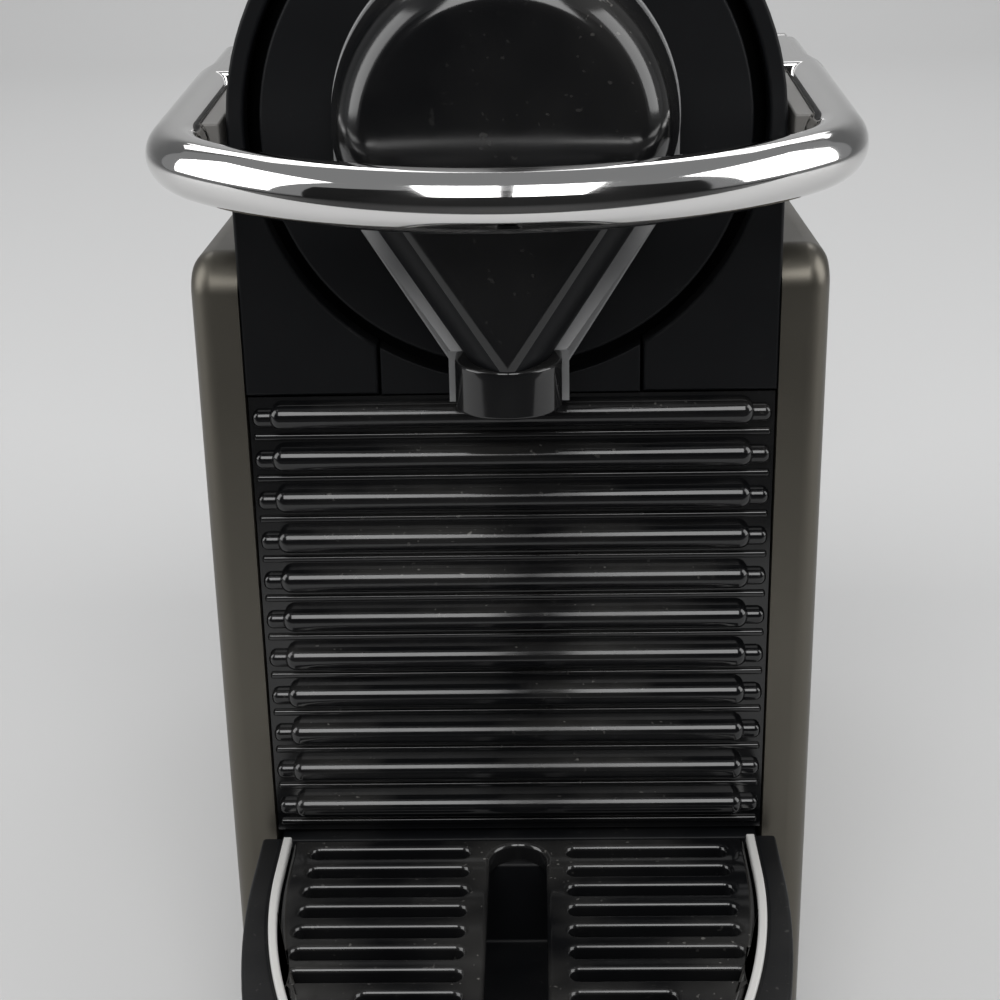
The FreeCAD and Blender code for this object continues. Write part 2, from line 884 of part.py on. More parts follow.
frame = Piece("front_frame")
frame_span = (back("0"), back("frame_deep"))
ring_span = (back("0"), back("ring_deep"))
frame.add("y", middle_disc("arch_z", "arch_radius"), *frame_span)
frame.add("y", area(both("arch_radius"), ("plate_low", "arch_z")), *frame_span)
frame.take("y", area(both("arch_radius * 2"), ("plate_low - arch_radius", "plate_low")), *frame_span)
frame.take("y", middle_disc("arch_z", "disc_radius + ring_gap"), *ring_span)
frame.take("y", area(both("insert_half + shut_gap"), ("plate_low", "arch_z")), *ring_span)
coffee_way = square("0", "coffee_z", "coffee_bore + fit_gap")
frame.take("y", coffee_way, *frame_span)

round_front = Piece("front_disc")
round_front.add("y", middle_disc("arch_z", "disc_radius"), *ring_span)
round_front.take("y", coffee_way, *ring_span)

insert = Piece("front_insert")
insert.add("y", area(both("insert_half"), ("plate_low", "arch_z")), *ring_span)
insert.take("y", middle_disc("arch_z", "disc_radius + ring_gap"), *ring_span)

# Nose, a hollow drop shape that narrows forward and closes to a point above the outlet


def flat_sided(near, far):
    """A solid with flat sides between two outlines of like shape."""
    faces = [near, far]
    for first in range(len(near)):
        second = (first + 1) % len(near)
        faces.append((near[first], near[second], far[second], far[first]))
    sides = [Part.Face(Part.makePolygon([*face, face[0]])) for face in faces]
    return Part.makeSolid(Part.makeShell(sides))


def drop(base_radius, front_radius, forward):
    """A drop-shaped solid: a round cone with a wedge below it whose flanks run into the cone."""
    lean = math.radians(size("nose_lean"))
    start = size("front_y")
    centre = size("nose_z")

    def flank(radius, y):
        """The flank ends on both sides and the tip where they meet."""
        x = radius * math.cos(lean)
        z = centre - radius * math.sin(lean)
        tip = centre - radius / math.sin(lean)
        return Vector(x, y, z), Vector(-x, y, z), Vector(0, y, tip)

    wedge = flat_sided(flank(base_radius, start), flank(front_radius, start - forward))
    middle = Vector(0, start, centre)
    if base_radius == front_radius:
        cone = Part.makeCylinder(base_radius, forward, middle, Vector(0, -1, 0))
    else:
        cone = Part.makeCone(base_radius, front_radius, forward, middle, Vector(0, -1, 0))
    return cone.fuse(wedge).removeSplitter()


def drop_outline(radius, y):
    """The outline of a drop with flats in place of its round."""
    lean = math.radians(size("nose_lean"))
    centre = size("nose_z")
    sweep = math.pi + 2 * lean
    spots = [Vector(0, y, centre - radius / math.sin(lean))]
    for index in range(RING_SIDES + 1):
        angle = sweep * index / RING_SIDES - lean
        spots.append(Vector(radius * math.cos(angle), y, centre + radius * math.sin(angle)))
    return spots


nose_outside = drop(size("nose_base"), size("nose_front"), size("nose_deep"))
nose_plane = size("front_y") - size("nose_deep")
front_rim = [edge for edge in nose_outside.Edges if flat_at(edge, "y", nose_plane)]
nose_outside = nose_outside.makeChamfer(size("nose_edge"), front_rim)
nose_inside = flat_sided(
    drop_outline(size("nose_base") - size("nose_wall"), size("front_y")),
    drop_outline(size("nose_front") - size("nose_wall"), nose_plane + size("nose_wall")),
)
rim_radius = size("nose_base") + size("rim_wide")
nose_forms = {}
for name, shape in (
    ("nose_form", nose_outside),
    ("nose_rim", drop(rim_radius, rim_radius, size("rim_deep"))),
    ("nose_hollow", nose_inside),
):
    nose_forms[name] = doc.addObject("Part::Feature", name)
    nose_forms[name].Shape = shape
rim_skirt = block(
    both("rim_half"),
    (ahead("rim_deep"), back("0")),
    ("rim_low", "spout_top + rim_half"),
)
rim_trim = block(
    both("arch_radius"),
    (ahead("nose_deep * 2"), back("0")),
    ("rim_low - arch_radius", "rim_low"),
)
spout_room = block(
    both("spout_radius + fit_gap"),
    (ahead("nose_deep * 2"), back("0")),
    ("plate_low - arch_radius", "spout_top + run_gap"),
)
neck_room = block(
    both("neck_half + fit_gap"),
    (ahead("neck_deep + neck_half + fit_gap"), back("0")),
    ("spout_top", "neck_top + fit_gap"),
)
nose_whole = fuse(nose_forms["nose_form"], nose_forms["nose_rim"], rim_skirt)
keep("nose_cover", cut(nose_whole, nose_forms["nose_hollow"], rim_trim, spout_room, neck_room))

# Coffee outlet with a round mouth, straight cheeks and a feed through the disc

outlet = Piece("coffee_outlet")
outlet.add("z", middle_disc(ahead("spout_deep"), "spout_radius"), "spout_low", "spout_top")
cheeks = area(both("spout_radius"), (ahead("spout_deep"), back("0")))
outlet.add("z", cheeks, "spout_low", "spout_top")
outlet.add("z", square("0", ahead("neck_deep"), "neck_half"), "spout_top", "neck_top")
feed_area = square("0", "coffee_z", "coffee_bore")
outlet.add("y", feed_area, ahead("neck_deep"), back("frame_deep"))
mouth = middle_disc(ahead("spout_deep"), "spout_radius - spout_wall")
outlet.take("z", mouth, "spout_low", "spout_top - spout_wall")
outlet.take("z", middle_disc(ahead("neck_deep"), "coffee_bore"), "spout_low", "coffee_z")

# Deck, brew frame and capsule plate

deck = Piece("chassis_deck")
deck_top = "deck_low + deck_thick"
deck_area = area(both("inner_radius - run_gap"), (back("deck_front"), back("deck_rear")))
deck.add("z", deck_area, "deck_low", deck_top)
deck.take("z", area(both("chute_half"), (back("capsule_rear"), back("drop_rear"))), "deck_low", deck_top)
deck.take("z", middle_disc(back("pump_deep"), "hose_radius + fit_gap"), "deck_low", deck_top)

cheek_outer = "cheek_inner + cheek_thick"
brew = Piece("brew_frame")
cheek_side = area((back("cheek_front"), back("cheek_rear")), (deck_top, "cheek_top"))
for sign in ("-1", "1"):
    brew.add("x", cheek_side, *side_bounds(sign, "cheek_inner", cheek_outer))
tie = area(both(cheek_outer), (back("tie_front"), back("cheek_rear")))
brew.add("z", tie, deck_top, deck_top + " + tie_high")

plate = Piece("capsule_plate")
plate_span = (back("capsule_front"), back("capsule_rear"))
plate.add("y", area(both("cheek_inner"), ("capsule_low", "capsule_top")), *plate_span)
plate.take("y", middle_disc("brew_z", "capsule_bore"), back("capsule_front + shell_wall"), plate_span[1])
plate.take("y", middle_disc("brew_z - capsule_bore / 2", "coffee_bore"), *plate_span)

# Carriage: the cage that takes the capsule, its seal and the shutter under the chute

shutter_outer = "inner_radius - fit_gap"
shutter_inner = shutter_outer + " - shutter_thick"


def yoke(sign):
    """An upright slot in one ear that the crank pin slides in."""
    lean = math.radians(size("crank_lean"))
    middle = size("pivot_deep") - size("crank_reach") * math.sin(lean)
    low = size("pivot_z") + size("crank_reach") * math.cos(lean)
    slot = "pin_radius + yoke_gap"
    bounds = side_bounds(sign, "ear_inner - fit_gap", "ear_inner + ear_thick + fit_gap")
    along = (back("%.6f - (%s)" % (middle, slot)), back("%.6f + (%s)" % (middle, slot)))
    upright = ("%.6f - (%s)" % (low, slot), "pivot_z + crank_reach + (%s)" % slot)
    return block(bounds, along, upright)


def ear(sign):
    """One ear of the cage, reaching up to the shutter."""
    bounds = side_bounds(sign, "ear_inner", "ear_inner + ear_thick")
    tall = block(bounds, (back("ear_front"), back("cage_rear")), ("ear_low", "arch_z + arch_radius"))
    under = rod("y", shutter_inner, back("ear_front"), back("cage_rear"), "0", "arch_z")
    lower = block(bounds, (back("ear_front"), back("cage_rear")), ("ear_low", "arch_z"))
    return fuse(shared(tall, under), lower)


cage_span = (back("cage_front"), back("cage_rear"))
cage_body = block(both("cage_half"), cage_span, ("brew_z - cage_half", "brew_z + cage_half"))
cage_room = rod("y", "cage_bore", back("cage_front"), back("cage_floor"), "0", "brew_z")
water_way = rod("y", "coffee_bore", back("cage_front"), back("cage_rear"), "0", "brew_z")
keep("brew_cage", cut(fuse(cage_body, *pairs(ear)), cage_room, water_way, *pairs(yoke)))

seal_front = "cage_front - seal_thick"
seal_span = (back(seal_front), back("cage_front"))
seal_ring = prism(RING_SIDES, "y", "cage_bore + seal_wide", *seal_span, "0", "brew_z")
seal_room = prism(RING_SIDES, "y", "cage_bore", *seal_span, "0", "brew_z")
keep("cage_seal", cut(seal_ring, seal_room))

shutter_span = (back("shutter_front"), back("shutter_rear"))
shutter_tube = cut(
    rod("y", shutter_outer, *shutter_span, "0", "arch_z"),
    rod("y", shutter_inner, *shutter_span, "0", "arch_z"),
)
shutter_room = block(both("shutter_half"), shutter_span, ("arch_z", "arch_z + arch_radius"))
keep("chute_shutter", shared(shutter_tube, shutter_room))

# Lever, drawn about its pivot: the chrome bow, its liners, the cranks and their bushes


def bow_tube():
    """A round tube: an arm, a tight corner, a wide front, the other corner and the other arm."""
    half = size("bow_half")
    reach = size("bow_reach")
    corner = size("bow_corner")
    radius = size("tube_radius")
    bend = -size("arm_long")
    straight = size("arm_long") - size("arm_start")
    # The wide front arc meets both corner arcs without a kink
    shoulder = half - corner
    wide = (shoulder**2 + reach**2 - corner**2) / (2 * (reach - corner))
    turn = math.degrees(math.atan2(wide - reach, shoulder))
    spots = []
    for index in range(TUBE_SIDES + 1):
        angle = 2 * math.pi * (index + 0.5) / TUBE_SIDES
        spots.append(Vector(half + radius * math.cos(angle), bend, radius * math.sin(angle)))
    section = Part.Face(Part.makePolygon(spots))
    arm = section.extrude(Vector(0, straight, 0))
    corner_centre = Vector(shoulder, bend, 0)
    front_centre = Vector(0, bend - reach + wide, 0)
    down = Vector(0, 0, -1)
    right = section.revolve(corner_centre, down, turn)
    section.rotate(corner_centre, down, turn)
    front = section.revolve(front_centre, down, 180 - 2 * turn)
    side = Vector(1, 0, 0)
    solids = [front, right.mirror(Vector(), side), arm, arm.mirror(Vector(), side)]
    return right.multiFuse(solids).removeSplitter()


def hub(sign):
    """A flat hub plate at one end of the bow."""
    x_low, x_high = side_bounds(sign, "hub_inner", "hub_inner + hub_thick")
    round_end = rod("x", "hub_radius", x_low, x_high, "0", "0")
    plate_low = block((x_low, x_high), ("-(hub_long)", "0"), both("tube_radius"))
    return fuse(round_end, plate_low)


tube = doc.addObject("Part::Feature", "bow_tube")
tube.Shape = bow_tube()
keep("lever_bow", hung(fuse(tube, *pairs(hub)), "lever_lean"))


def liner(sign):
    """A strip lying along the inside of one arm."""
    bounds = side_bounds(sign, "liner_inner", "liner_outer")
    along = ("-(liner_front)", "-(liner_rear)")
    strip = block(bounds, along, both("liner_half"))
    room = rod("y", "tube_radius", "-(arm_long)", "0", "%s * bow_half" % sign, "0")
    return cut(strip, room)


liner_clear = fuse(*pairs(hub))
keep("lever_liners", hung(cut(fuse(*pairs(liner)), liner_clear), "lever_lean"))


def crank(sign):
    """A pivot stub, a crank arm inside the shell and the pin at its end."""
    stub = rod("x", "stub_radius", *side_bounds(sign, "crank_inner", "hub_inner"), "0", "0")
    arm_bounds = side_bounds(sign, "crank_inner", "crank_inner + crank_thick")
    arm = block(arm_bounds, both("crank_wide"), ("0", "crank_reach + crank_wide"))
    pin_bounds = side_bounds(sign, "pin_inner", "crank_inner + crank_thick")
    pin = rod("x", "pin_radius", *pin_bounds, "0", "crank_reach")
    return fuse(stub, arm, pin)


keep("lever_cranks", hung(fuse(*pairs(crank)), "crank_lean"))


def bush(sign):
    """A square bearing block in one shell wall."""
    bounds = side_bounds(sign, "bush_inner", "bush_outer")
    along = (back("pivot_deep - bush_half"), back("pivot_deep + bush_half"))
    body = block(bounds, along, ("pivot_z - bush_half", "pivot_z + bush_half"))
    room = rod("x", "stub_radius + run_gap", *bounds, back("pivot_deep"), "pivot_z")
    return cut(body, room)


keep("pivot_bushes", fuse(*pairs(bush)))

# Buttons, their guide and the circuit board



def about(sign, half):
    """The bounds across and along of a square under one button."""
    across = ("%s * button_x - (%s)" % (sign, half), "%s * button_x + (%s)" % (sign, half))
    along = (back("button_deep - (%s)" % half), back("button_deep + (%s)" % half))
    return across, along


for label, sign in (("button_small", "-1"), ("button_large", "1")):
    spot = ("%s * button_x" % sign, back("button_deep"))
    cap = rod("z", "button_radius", "button_low", "arch_z + arch_radius", *spot)
    crown = rod("y", "arch_radius", back("0"), back("shell_rear"), "0", "arch_z")
    flange = prism(ROUND_SIDES, "z", "flange_radius", "button_low", "button_low + flange_thick", *spot)
    stem = block(*about(sign, "stem_half"), ("stem_low", "button_low"))
    keep(label, fuse(shared(cap, crown), flange, stem))

guide_span = (back("guide_front"), back("guide_rear"))
guide_top = "guide_low + guide_thick"
guide_block = block(both("guide_half"), guide_span, ("guide_low", guide_top))
guide_room = rod("y", "inner_radius", *guide_span, "0", "arch_z")
stem_holes = []
posts = []
switches = []
for sign in ("-1", "1"):
    stem_holes.append(block(*about(sign, "stem_half + run_gap"), ("guide_low", guide_top)))
    across = ("%s * post_x - post_half" % sign, "%s * post_x + post_half" % sign)
    for deep in ("guide_front + post_half", "guide_rear - post_half"):
        along = (back("%s - post_half" % deep), back("%s + post_half" % deep))
        posts.append(block(across, along, ("board_low + board_thick", "guide_low")))
    switches.append(block(*about(sign, "switch_half"), ("board_low + board_thick", "switch_top")))
keep("button_guide", fuse(cut(shared(guide_block, guide_room), *stem_holes), *posts))
board = block(both("board_half"), guide_span, ("board_low", "board_low + board_thick"))
keep("circuit_board", fuse(board, *switches))

# Drawer: the drip base, the used-capsule container and the ribbed front

drip = Piece("drip_base")
drip.add("z", bent_end("tray", "step_inset", ahead("apron_front")), "step_low", "step_top")
apron_span = (ahead("apron_front"), back("apron_rear"))
drip.add("y", area(both("apron_half"), ("drawer_low", "apron_top")), *apron_span)
floor_area = area(both("drawer_half"), (back("0"), back("drawer_rear")))
drip.add("z", floor_area, "drawer_low", "ledge_z")
room_area = area(
    both("drawer_half - drawer_wall"),
    (back("apron_rear"), back("drawer_rear - drawer_wall")),
)
drip.take("z", room_area, "drawer_low + drawer_floor", "ledge_z")
lug_outer = "lug_inner + lug_thick"
knuckle_low = "hinge_deep + knuckle_radius"
for sign in ("-1", "1"):
    bounds = side_bounds(sign, "lug_inner", lug_outer)
    foot = area((ahead(knuckle_low), ahead("apron_front")), ("lug_low", "lug_low + lug_foot"))
    drip.add("x", foot, *bounds)
    leg = area((ahead(knuckle_low), ahead("hinge_deep - knuckle_radius")), ("lug_low", "hinge_z"))
    drip.add("x", leg, *bounds)
    drip.add("x", disc(ahead("hinge_deep"), "hinge_z", "knuckle_radius"), *bounds)
    drip.take("x", disc(ahead("hinge_deep"), "hinge_z", "hinge_radius + run_gap"), *bounds)

container = Piece("capsule_container")
bin_area = area(both("bin_half"), (back("bin_front"), back("bin_rear")))
container.add("z", bin_area, "ledge_z", "bin_top")
container.soften("bin_wall * 2", lambda edge: runs(edge, "z") and edge.CenterOfMass.y > 0)
bin_room = area(
    both("bin_half - bin_wall"),
    (back("bin_front + bin_wall"), back("bin_rear - bin_wall")),
)
container.take("z", bin_room, "ledge_z + bin_wall", "bin_top")
drain = area(
    both("bin_half / 2"),
    (back("bin_front + rib_pitch * 2"), back("bin_front + rib_pitch * 2 + bin_slot * 2")),
)
slot = container.take("z", drain, "ledge_z", "ledge_z + bin_wall")
container.repeat([slot], "y", "rib_pitch", "rib_count - 4")

ribs = Piece("ribbed_front")
rib_area = area(both("rib_wide"), ("rib_low", "plate_low - fit_gap"))
ribs.add("y", rib_area, back("rib_back"), back("bin_front"))


def bar_side(half, reach, slope, level):
    """The end of a bar: flat at the back and sloped off above and below in front."""
    root = back("rib_back + shut_gap")
    shoulder = back("rib_back - %s + %s" % (reach, slope))
    face = back("rib_back - %s" % reach)
    low = "%s - %s" % (level, half)
    high = "%s + %s" % (level, half)
    return corners(
        (root, low),
        (shoulder, low),
        (face, "%s + %s" % (low, slope)),
        (face, "%s - %s" % (high, slope)),
        (shoulder, high),
        (root, high),
    )


def ridge_side(level):
    """The end of a thin ridge between two bars."""
    return corners(
        (back("rib_back + shut_gap"), "%s - ridge_half" % level),
        (back("rib_back"), "%s - ridge_half" % level),
        (back("rib_back - ridge_out"), level),
        (back("rib_back"), "%s + ridge_half" % level),
        (back("rib_back + shut_gap"), "%s + ridge_half" % level),
    )


bar = ribs.add("x", bar_side("rib_half", "rib_out", "rib_slope", "rib_first"), *both("rib_end"))
stub_shape = bar_side("stub_half", "stub_out", "stub_slope", "rib_first - stub_drop")
stub = ribs.add("x", stub_shape, *both("stub_end"))
ridge = ribs.add("x", ridge_side("rib_first - ridge_drop"), *both("stub_end"))
ribs.repeat([bar, stub, ridge], "z", "rib_pitch", "rib_count", backwards=True)

# Drip tray with a rounded front, a basin, a grid ledge and room for the hinge lugs

tray = Piece("drip_tray")


grid_room = "grid_inset - grid_gap"
groove_low = "tray_top + trim_proud - trim_high"
past_rear = ahead("0")
tray.add("z", bent_end("tray", "0", ahead("tray_rear")), "tray_low", "tray_top")
relief = area(both("tray_half * 2"), (ahead("tray_relief"), back("0")))
tray.take("z", relief, "tray_low", "tray_rear_low")
tray.take("z", bent_end("inner", "0", past_rear), groove_low, "tray_top")
tray.take("z", bent_end("inner", grid_room, past_rear), "grid_low", "tray_top")
basin_rear = ahead("tray_rear + basin_inset")
tray.take("z", bent_end("inner", "basin_inset", basin_rear), "basin_low", "grid_low")
deep_area = rounded_end(
    "inner_half - basin_inset * 3",
    ahead("basin_step"),
    ahead("inner_front - basin_inset * 2"),
    "basin_corner",
    "-1",
)
tray.take("z", deep_area, "basin_front_low", "basin_low")
notch_front = "hinge_deep + knuckle_radius + knuckle_gap"
notch_top = "hinge_z + knuckle_radius + knuckle_gap"
for sign in ("-1", "1"):
    boss_bounds = side_bounds(sign, "hinge_boss", "lug_inner - knuckle_gap")
    boss_area = area(
        (ahead("hinge_deep + boss_half"), ahead("hinge_deep - boss_half")),
        ("basin_low", "grid_low - knuckle_gap"),
    )
    tray.add("x", boss_area, *boss_bounds)
    notch = area((ahead(notch_front), back("0")), ("tray_low", notch_top))
    tray.take("x", notch, *side_bounds(sign, "lug_inner - knuckle_gap", "tray_half * 2"))
    pin_hole = disc(ahead("hinge_deep"), "hinge_z", "hinge_radius + run_gap")
    tray.take("x", pin_hole, *boss_bounds)

trim = Piece("tray_trim")
trim_top = "tray_top + trim_proud"
trim.add("z", bent_end("inner", "0", ahead("tray_rear")), groove_low, trim_top)
trim.take("z", bent_end("inner", "trim_wide", past_rear), groove_low, trim_top)


def hinge_pin(sign):
    """One hinge pin, held in the tray and turning in the lug."""
    bounds = side_bounds(sign, "hinge_boss", "pin_end")
    return rod("x", "hinge_radius", *bounds, ahead("hinge_deep"), "hinge_z")


keep("tray_hinge_pins", fuse(*pairs(hinge_pin)))

# Drip grid with rows of slots either side of one long slot

grid = Piece("drip_grid")
grid_rear = ahead("tray_rear + grid_gap")
grid.add("z", bent_end("inner", "grid_inset", grid_rear), "grid_low", "grid_top")


def slot_area(sign, outer, row):
    """One cross slot on one side, a number of rows forward of the rear."""
    near = "grid_first + grid_pitch * (%s)" % row
    return area(
        side_bounds(sign, "grid_inner", outer),
        (ahead("(%s) + grid_slot" % near), ahead(near)),
    )


for outer, first_row, rows in (
    ("grid_outer", "0", "grid_rows"),
    ("grid_short", "grid_rows", "grid_short_rows"),
):
    cuts = []
    for sign in ("-1", "1"):
        cuts.append(grid.take("z", slot_area(sign, outer, first_row), "grid_low", "grid_top"))
    grid.repeat(cuts, "y", "grid_pitch", rows, backwards=True)
mid_centre = "grid_mid_rear + grid_mid"
mid_area = area(both("grid_mid"), (ahead("grid_mid_front"), ahead(mid_centre)))
grid.take("z", mid_area, "grid_low", "grid_top")
grid.take("z", middle_disc(ahead(mid_centre), "grid_mid"), "grid_low", "grid_top")

# Water tank, its valve, the socket under it and the lid

tank = Piece("water_tank")


def tank_area(inset):
    """The tank outline drawn in by an inset."""
    return rounded_end(
        "tank_half - (%s)" % inset,
        back("tank_front + (%s)" % inset),
        back("tank_rear - (%s)" % inset),
        "tank_corner - (%s)" % inset,
        "1",
    )


lid_axis_y = back("tank_rear - lid_axis_in")
lid_axis_z = "tank_top + lid_thick / 2"
tank.add("z", tank_area("0"), "tank_low", "tank_top")
tank.take("z", tank_area("tank_wall"), "tank_floor + tank_wall", "tank_top")
skirt = area(
    both("tank_half - tank_corner"),
    (back("tank_front + tank_wall"), back("valve_deep + socket_half + tank_gap")),
)
tank.take("z", skirt, "tank_low", "tank_floor")
way = area(both("notch_half"), (back("tank_front"), back("tank_front + tank_corner")))
tank.take("z", way, "tank_low", "notch_top")
valve_hole = middle_disc(back("valve_deep"), "valve_radius + run_gap")
tank.take("z", valve_hole, "tank_floor", "tank_floor + tank_wall")
lid_lug = area(
    (back("tank_rear - lid_axis_in - lid_thick / 2"), back("tank_rear")),
    ("tank_top - lid_lug_low", lid_axis_z),
)
for sign in ("-1", "1"):
    bounds = side_bounds(sign, "lid_lug_x", "lid_lug_x + lid_lug_thick")
    tank.add("x", lid_lug, *bounds)
    tank.add("x", disc(lid_axis_y, lid_axis_z, "lid_thick / 2"), *bounds)
    tank.take("x", disc(lid_axis_y, lid_axis_z, "lid_pin_radius + run_gap"), *bounds)

valve_spot = ("0", back("valve_deep"))
valve_stem = prism(ROUND_SIDES, "z", "valve_radius", "valve_low", "valve_top", *valve_spot)
valve_seat_low = "tank_floor + tank_wall"
valve_ring_top = valve_seat_low + " + tank_wall"
valve_ring = prism(ROUND_SIDES, "z", "valve_flange", valve_seat_low, valve_ring_top, *valve_spot)
keep("tank_valve", fuse(valve_stem, valve_ring))

socket_along = (back("valve_deep - socket_half"), back("valve_deep + socket_half"))
socket_ring = block(both("socket_half"), socket_along, ("base_top", "socket_top"))
socket_room = rod("z", "socket_bore", "base_top + fit_gap", "socket_top", *valve_spot)
keep("tank_socket", cut(socket_ring, socket_room))

lid = Piece("tank_lid")
lid_top = "tank_top + lid_thick"
lid.add("z", tank_area("0"), "tank_top", lid_top)
behind_lid = area(both("tank_half * 2"), (lid_axis_y, back("tank_rear * 2")))
lid.take("z", behind_lid, "tank_top", lid_top)
lid.add("x", disc(lid_axis_y, lid_axis_z, "lid_thick / 2"), *both("tank_half - tank_corner"))
plug_area = area(
    both("tank_half - tank_corner"),
    (back("tank_front + tank_wall + lid_gap"), back("tank_rear - tank_corner")),
)
lid.add("z", plug_area, "tank_top - lid_plug", "tank_top")
lug_room = area(
    (back("tank_rear - lid_axis_in - lid_thick / 2 - knuckle_gap"), back("tank_rear")),
    ("tank_top - lid_plug", lid_top),
)
for sign in ("-1", "1"):
    bounds = side_bounds(sign, "lid_lug_x - knuckle_gap", "lid_lug_x + lid_lug_thick + knuckle_gap")
    lid.take("x", lug_room, *bounds)
    pin_bounds = side_bounds(sign, "lid_lug_x - lid_pin_out", "lid_lug_x + lid_lug_thick + lid_pin_out")
    lid.take("x", disc(lid_axis_y, lid_axis_z, "lid_pin_radius + run_gap"), *pin_bounds)


def lid_pin(sign):
    """One hinge pin, held in the lid and turning in a lug of the tank."""
    bounds = side_bounds(sign, "lid_lug_x - lid_pin_out", "lid_lug_x + lid_lug_thick + lid_pin_out")
    return rod("x", "lid_pin_radius", *bounds, lid_axis_y, lid_axis_z)


keep("lid_pins", fuse(*pairs(lid_pin)))

# Water circuit: flow meter, pump on its mounts, heater and hoses

meter_low = "base_top"
pump_spot = ("0", back("pump_deep"))
meter_spot = ("0", back("meter_deep"))
meter_top = meter_low + " + meter_high"
keep("flow_meter", prism(ROUND_SIDES, "z", "meter_radius", meter_low, meter_top, *meter_spot))
pump_along = (back("pump_deep - pump_half"), back("pump_deep + pump_half"))
keep(
    "pump",
    fuse(
        block(both("pump_half"), pump_along, ("pump_low", "pump_top")),
        rod("z", "port_radius", "pump_low - port_long", "pump_low", *pump_spot),
        rod("z", "port_radius", "pump_top", "pump_top + port_long", *pump_spot),
    ),
)
mounts = Piece("pump_mounts")
mount_area = area(both("inner_radius - run_gap"), (back("mount_front"), back("mount_rear")))
for level in ("mount_low", "mount_high"):
    mounts.add("z", mount_area, level, level + " + mount_thick")
mounts.take("z", square("0", back("pump_deep"), "pump_half + mount_gap"), "pump_low", "pump_top")

heater_span = (back("heater_front"), back("heater_rear"))
heater = [block(both("heater_half"), heater_span, ("heater_low", "heater_top"))]
for sign in ("-1", "1"):
    across = side_bounds(sign, "heater_leg_x - heater_leg", "heater_leg_x + heater_leg")
    for deep in ("heater_front + heater_leg_in", "heater_rear - heater_leg_in"):
        along = (back(deep + " - heater_leg"), back(deep + " + heater_leg"))
        heater.append(block(across, along, (deck_top, "heater_low")))
keep("thermoblock", fuse(*heater))


def hose(*points):
    """A hose through points, each leg along one axis, with a square elbow at each turn."""
    parts = []
    for start, end in zip(points, points[1:]):
        if start[1] == end[1]:
            parts.append(prism(ROUND_SIDES, "y", "hose_radius", end[0], start[0], "0", start[1]))
        else:
            parts.append(prism(ROUND_SIDES, "z", "hose_radius", start[1], end[1], "0", start[0]))
    for along, upright in points[1:-1]:
        sides = []
        for centre in (along, upright):
            sides.append(("%s - elbow_half" % centre, "%s + elbow_half" % centre))
        parts.append(block(both("elbow_half"), *sides))
    return fuse(*parts)


meter_y = back("meter_deep")
pump_y = back("pump_deep")
feed = hose(
    (back("valve_deep - socket_half"), "hose_low"),
    (back("meter_deep + meter_radius"), "hose_low"),
)
draw_up = hose(
    (meter_y, meter_top),
    (meter_y, "hose_turn"),
    (pump_y, "hose_turn"),
    (pump_y, "pump_low - port_long"),
)
press = hose((pump_y, "pump_top + port_long"), (pump_y, "heater_low"))
keep("hoses", fuse(feed, draw_up, press))

# Cord inlet

gland_bounds = ("arch_radius", "arch_radius + gland_out")
gland_spot = (back("gland_deep"), "foot_high + base_thick / 2")
gland_ring = prism(ROUND_SIDES, "x", "gland_radius", *gland_bounds, *gland_spot)
gland_room = prism(ROUND_SIDES, "x", "gland_bore", *gland_bounds, *gland_spot)
keep("cord_gland", cut(gland_ring, gland_room))

doc.recompute()

bad = []
for item in doc.Objects:
    if "Invalid" in item.State or "Error" in item.State:
        owner = item.getParentGeoFeatureGroup()
        bad.append("%s in %s" % (item.Label, owner.Label if owner else "the document"))
if bad:
    raise RuntimeError("did not build: " + ", ".join(bad))
for node in nodes:
    if node.Shape.isNull() or not node.Shape.isValid():
        raise RuntimeError("%s has no valid shape" % node.Label)
    node.Shape.exportStep("parts/%s.step" % node.Label)
    box = node.Shape.BoundBox
    spans = "x %.1f %.1f  y %.1f %.1f  z %.1f %.1f" % (
        box.XMin,
        box.XMax,
        box.YMin,
        box.YMax,
        box.ZMin,
        box.ZMax,
    )
    print("%-18s solids %d  %s  volume %.0f" % (node.Label, len(node.Shape.Solids), spans, node.Shape.Volume))
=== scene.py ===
import json
import math

import bmesh
import bpy
from bpy.props import FloatProperty, FloatVectorProperty, IntProperty, PointerProperty
from mathutils import Matrix, Vector


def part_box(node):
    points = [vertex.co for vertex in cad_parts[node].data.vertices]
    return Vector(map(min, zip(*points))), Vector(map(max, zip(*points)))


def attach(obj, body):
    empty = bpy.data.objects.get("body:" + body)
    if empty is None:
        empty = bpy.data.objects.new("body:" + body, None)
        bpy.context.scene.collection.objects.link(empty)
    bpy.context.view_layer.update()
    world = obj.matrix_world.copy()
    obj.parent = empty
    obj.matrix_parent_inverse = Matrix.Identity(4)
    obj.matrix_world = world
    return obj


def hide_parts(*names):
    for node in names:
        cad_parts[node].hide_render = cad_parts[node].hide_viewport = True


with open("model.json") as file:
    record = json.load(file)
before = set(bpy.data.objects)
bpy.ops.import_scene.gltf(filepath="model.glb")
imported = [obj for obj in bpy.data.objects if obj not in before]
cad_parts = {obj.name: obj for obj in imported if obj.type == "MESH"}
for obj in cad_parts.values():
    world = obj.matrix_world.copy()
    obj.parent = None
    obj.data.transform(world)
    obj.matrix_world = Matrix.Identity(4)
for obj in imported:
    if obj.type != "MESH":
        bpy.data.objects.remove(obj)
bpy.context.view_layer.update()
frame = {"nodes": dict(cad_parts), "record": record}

bl_info = {
    "name": "Pod coffee machine",
    "version": (1, 0, 0),
    "blender": (4, 5, 0),
    "location": "3D View > Sidebar > Pod machine",
    "description": "Builds the shown pieces of a compact pod coffee machine on its CAD frame",
    "category": "Object",
}

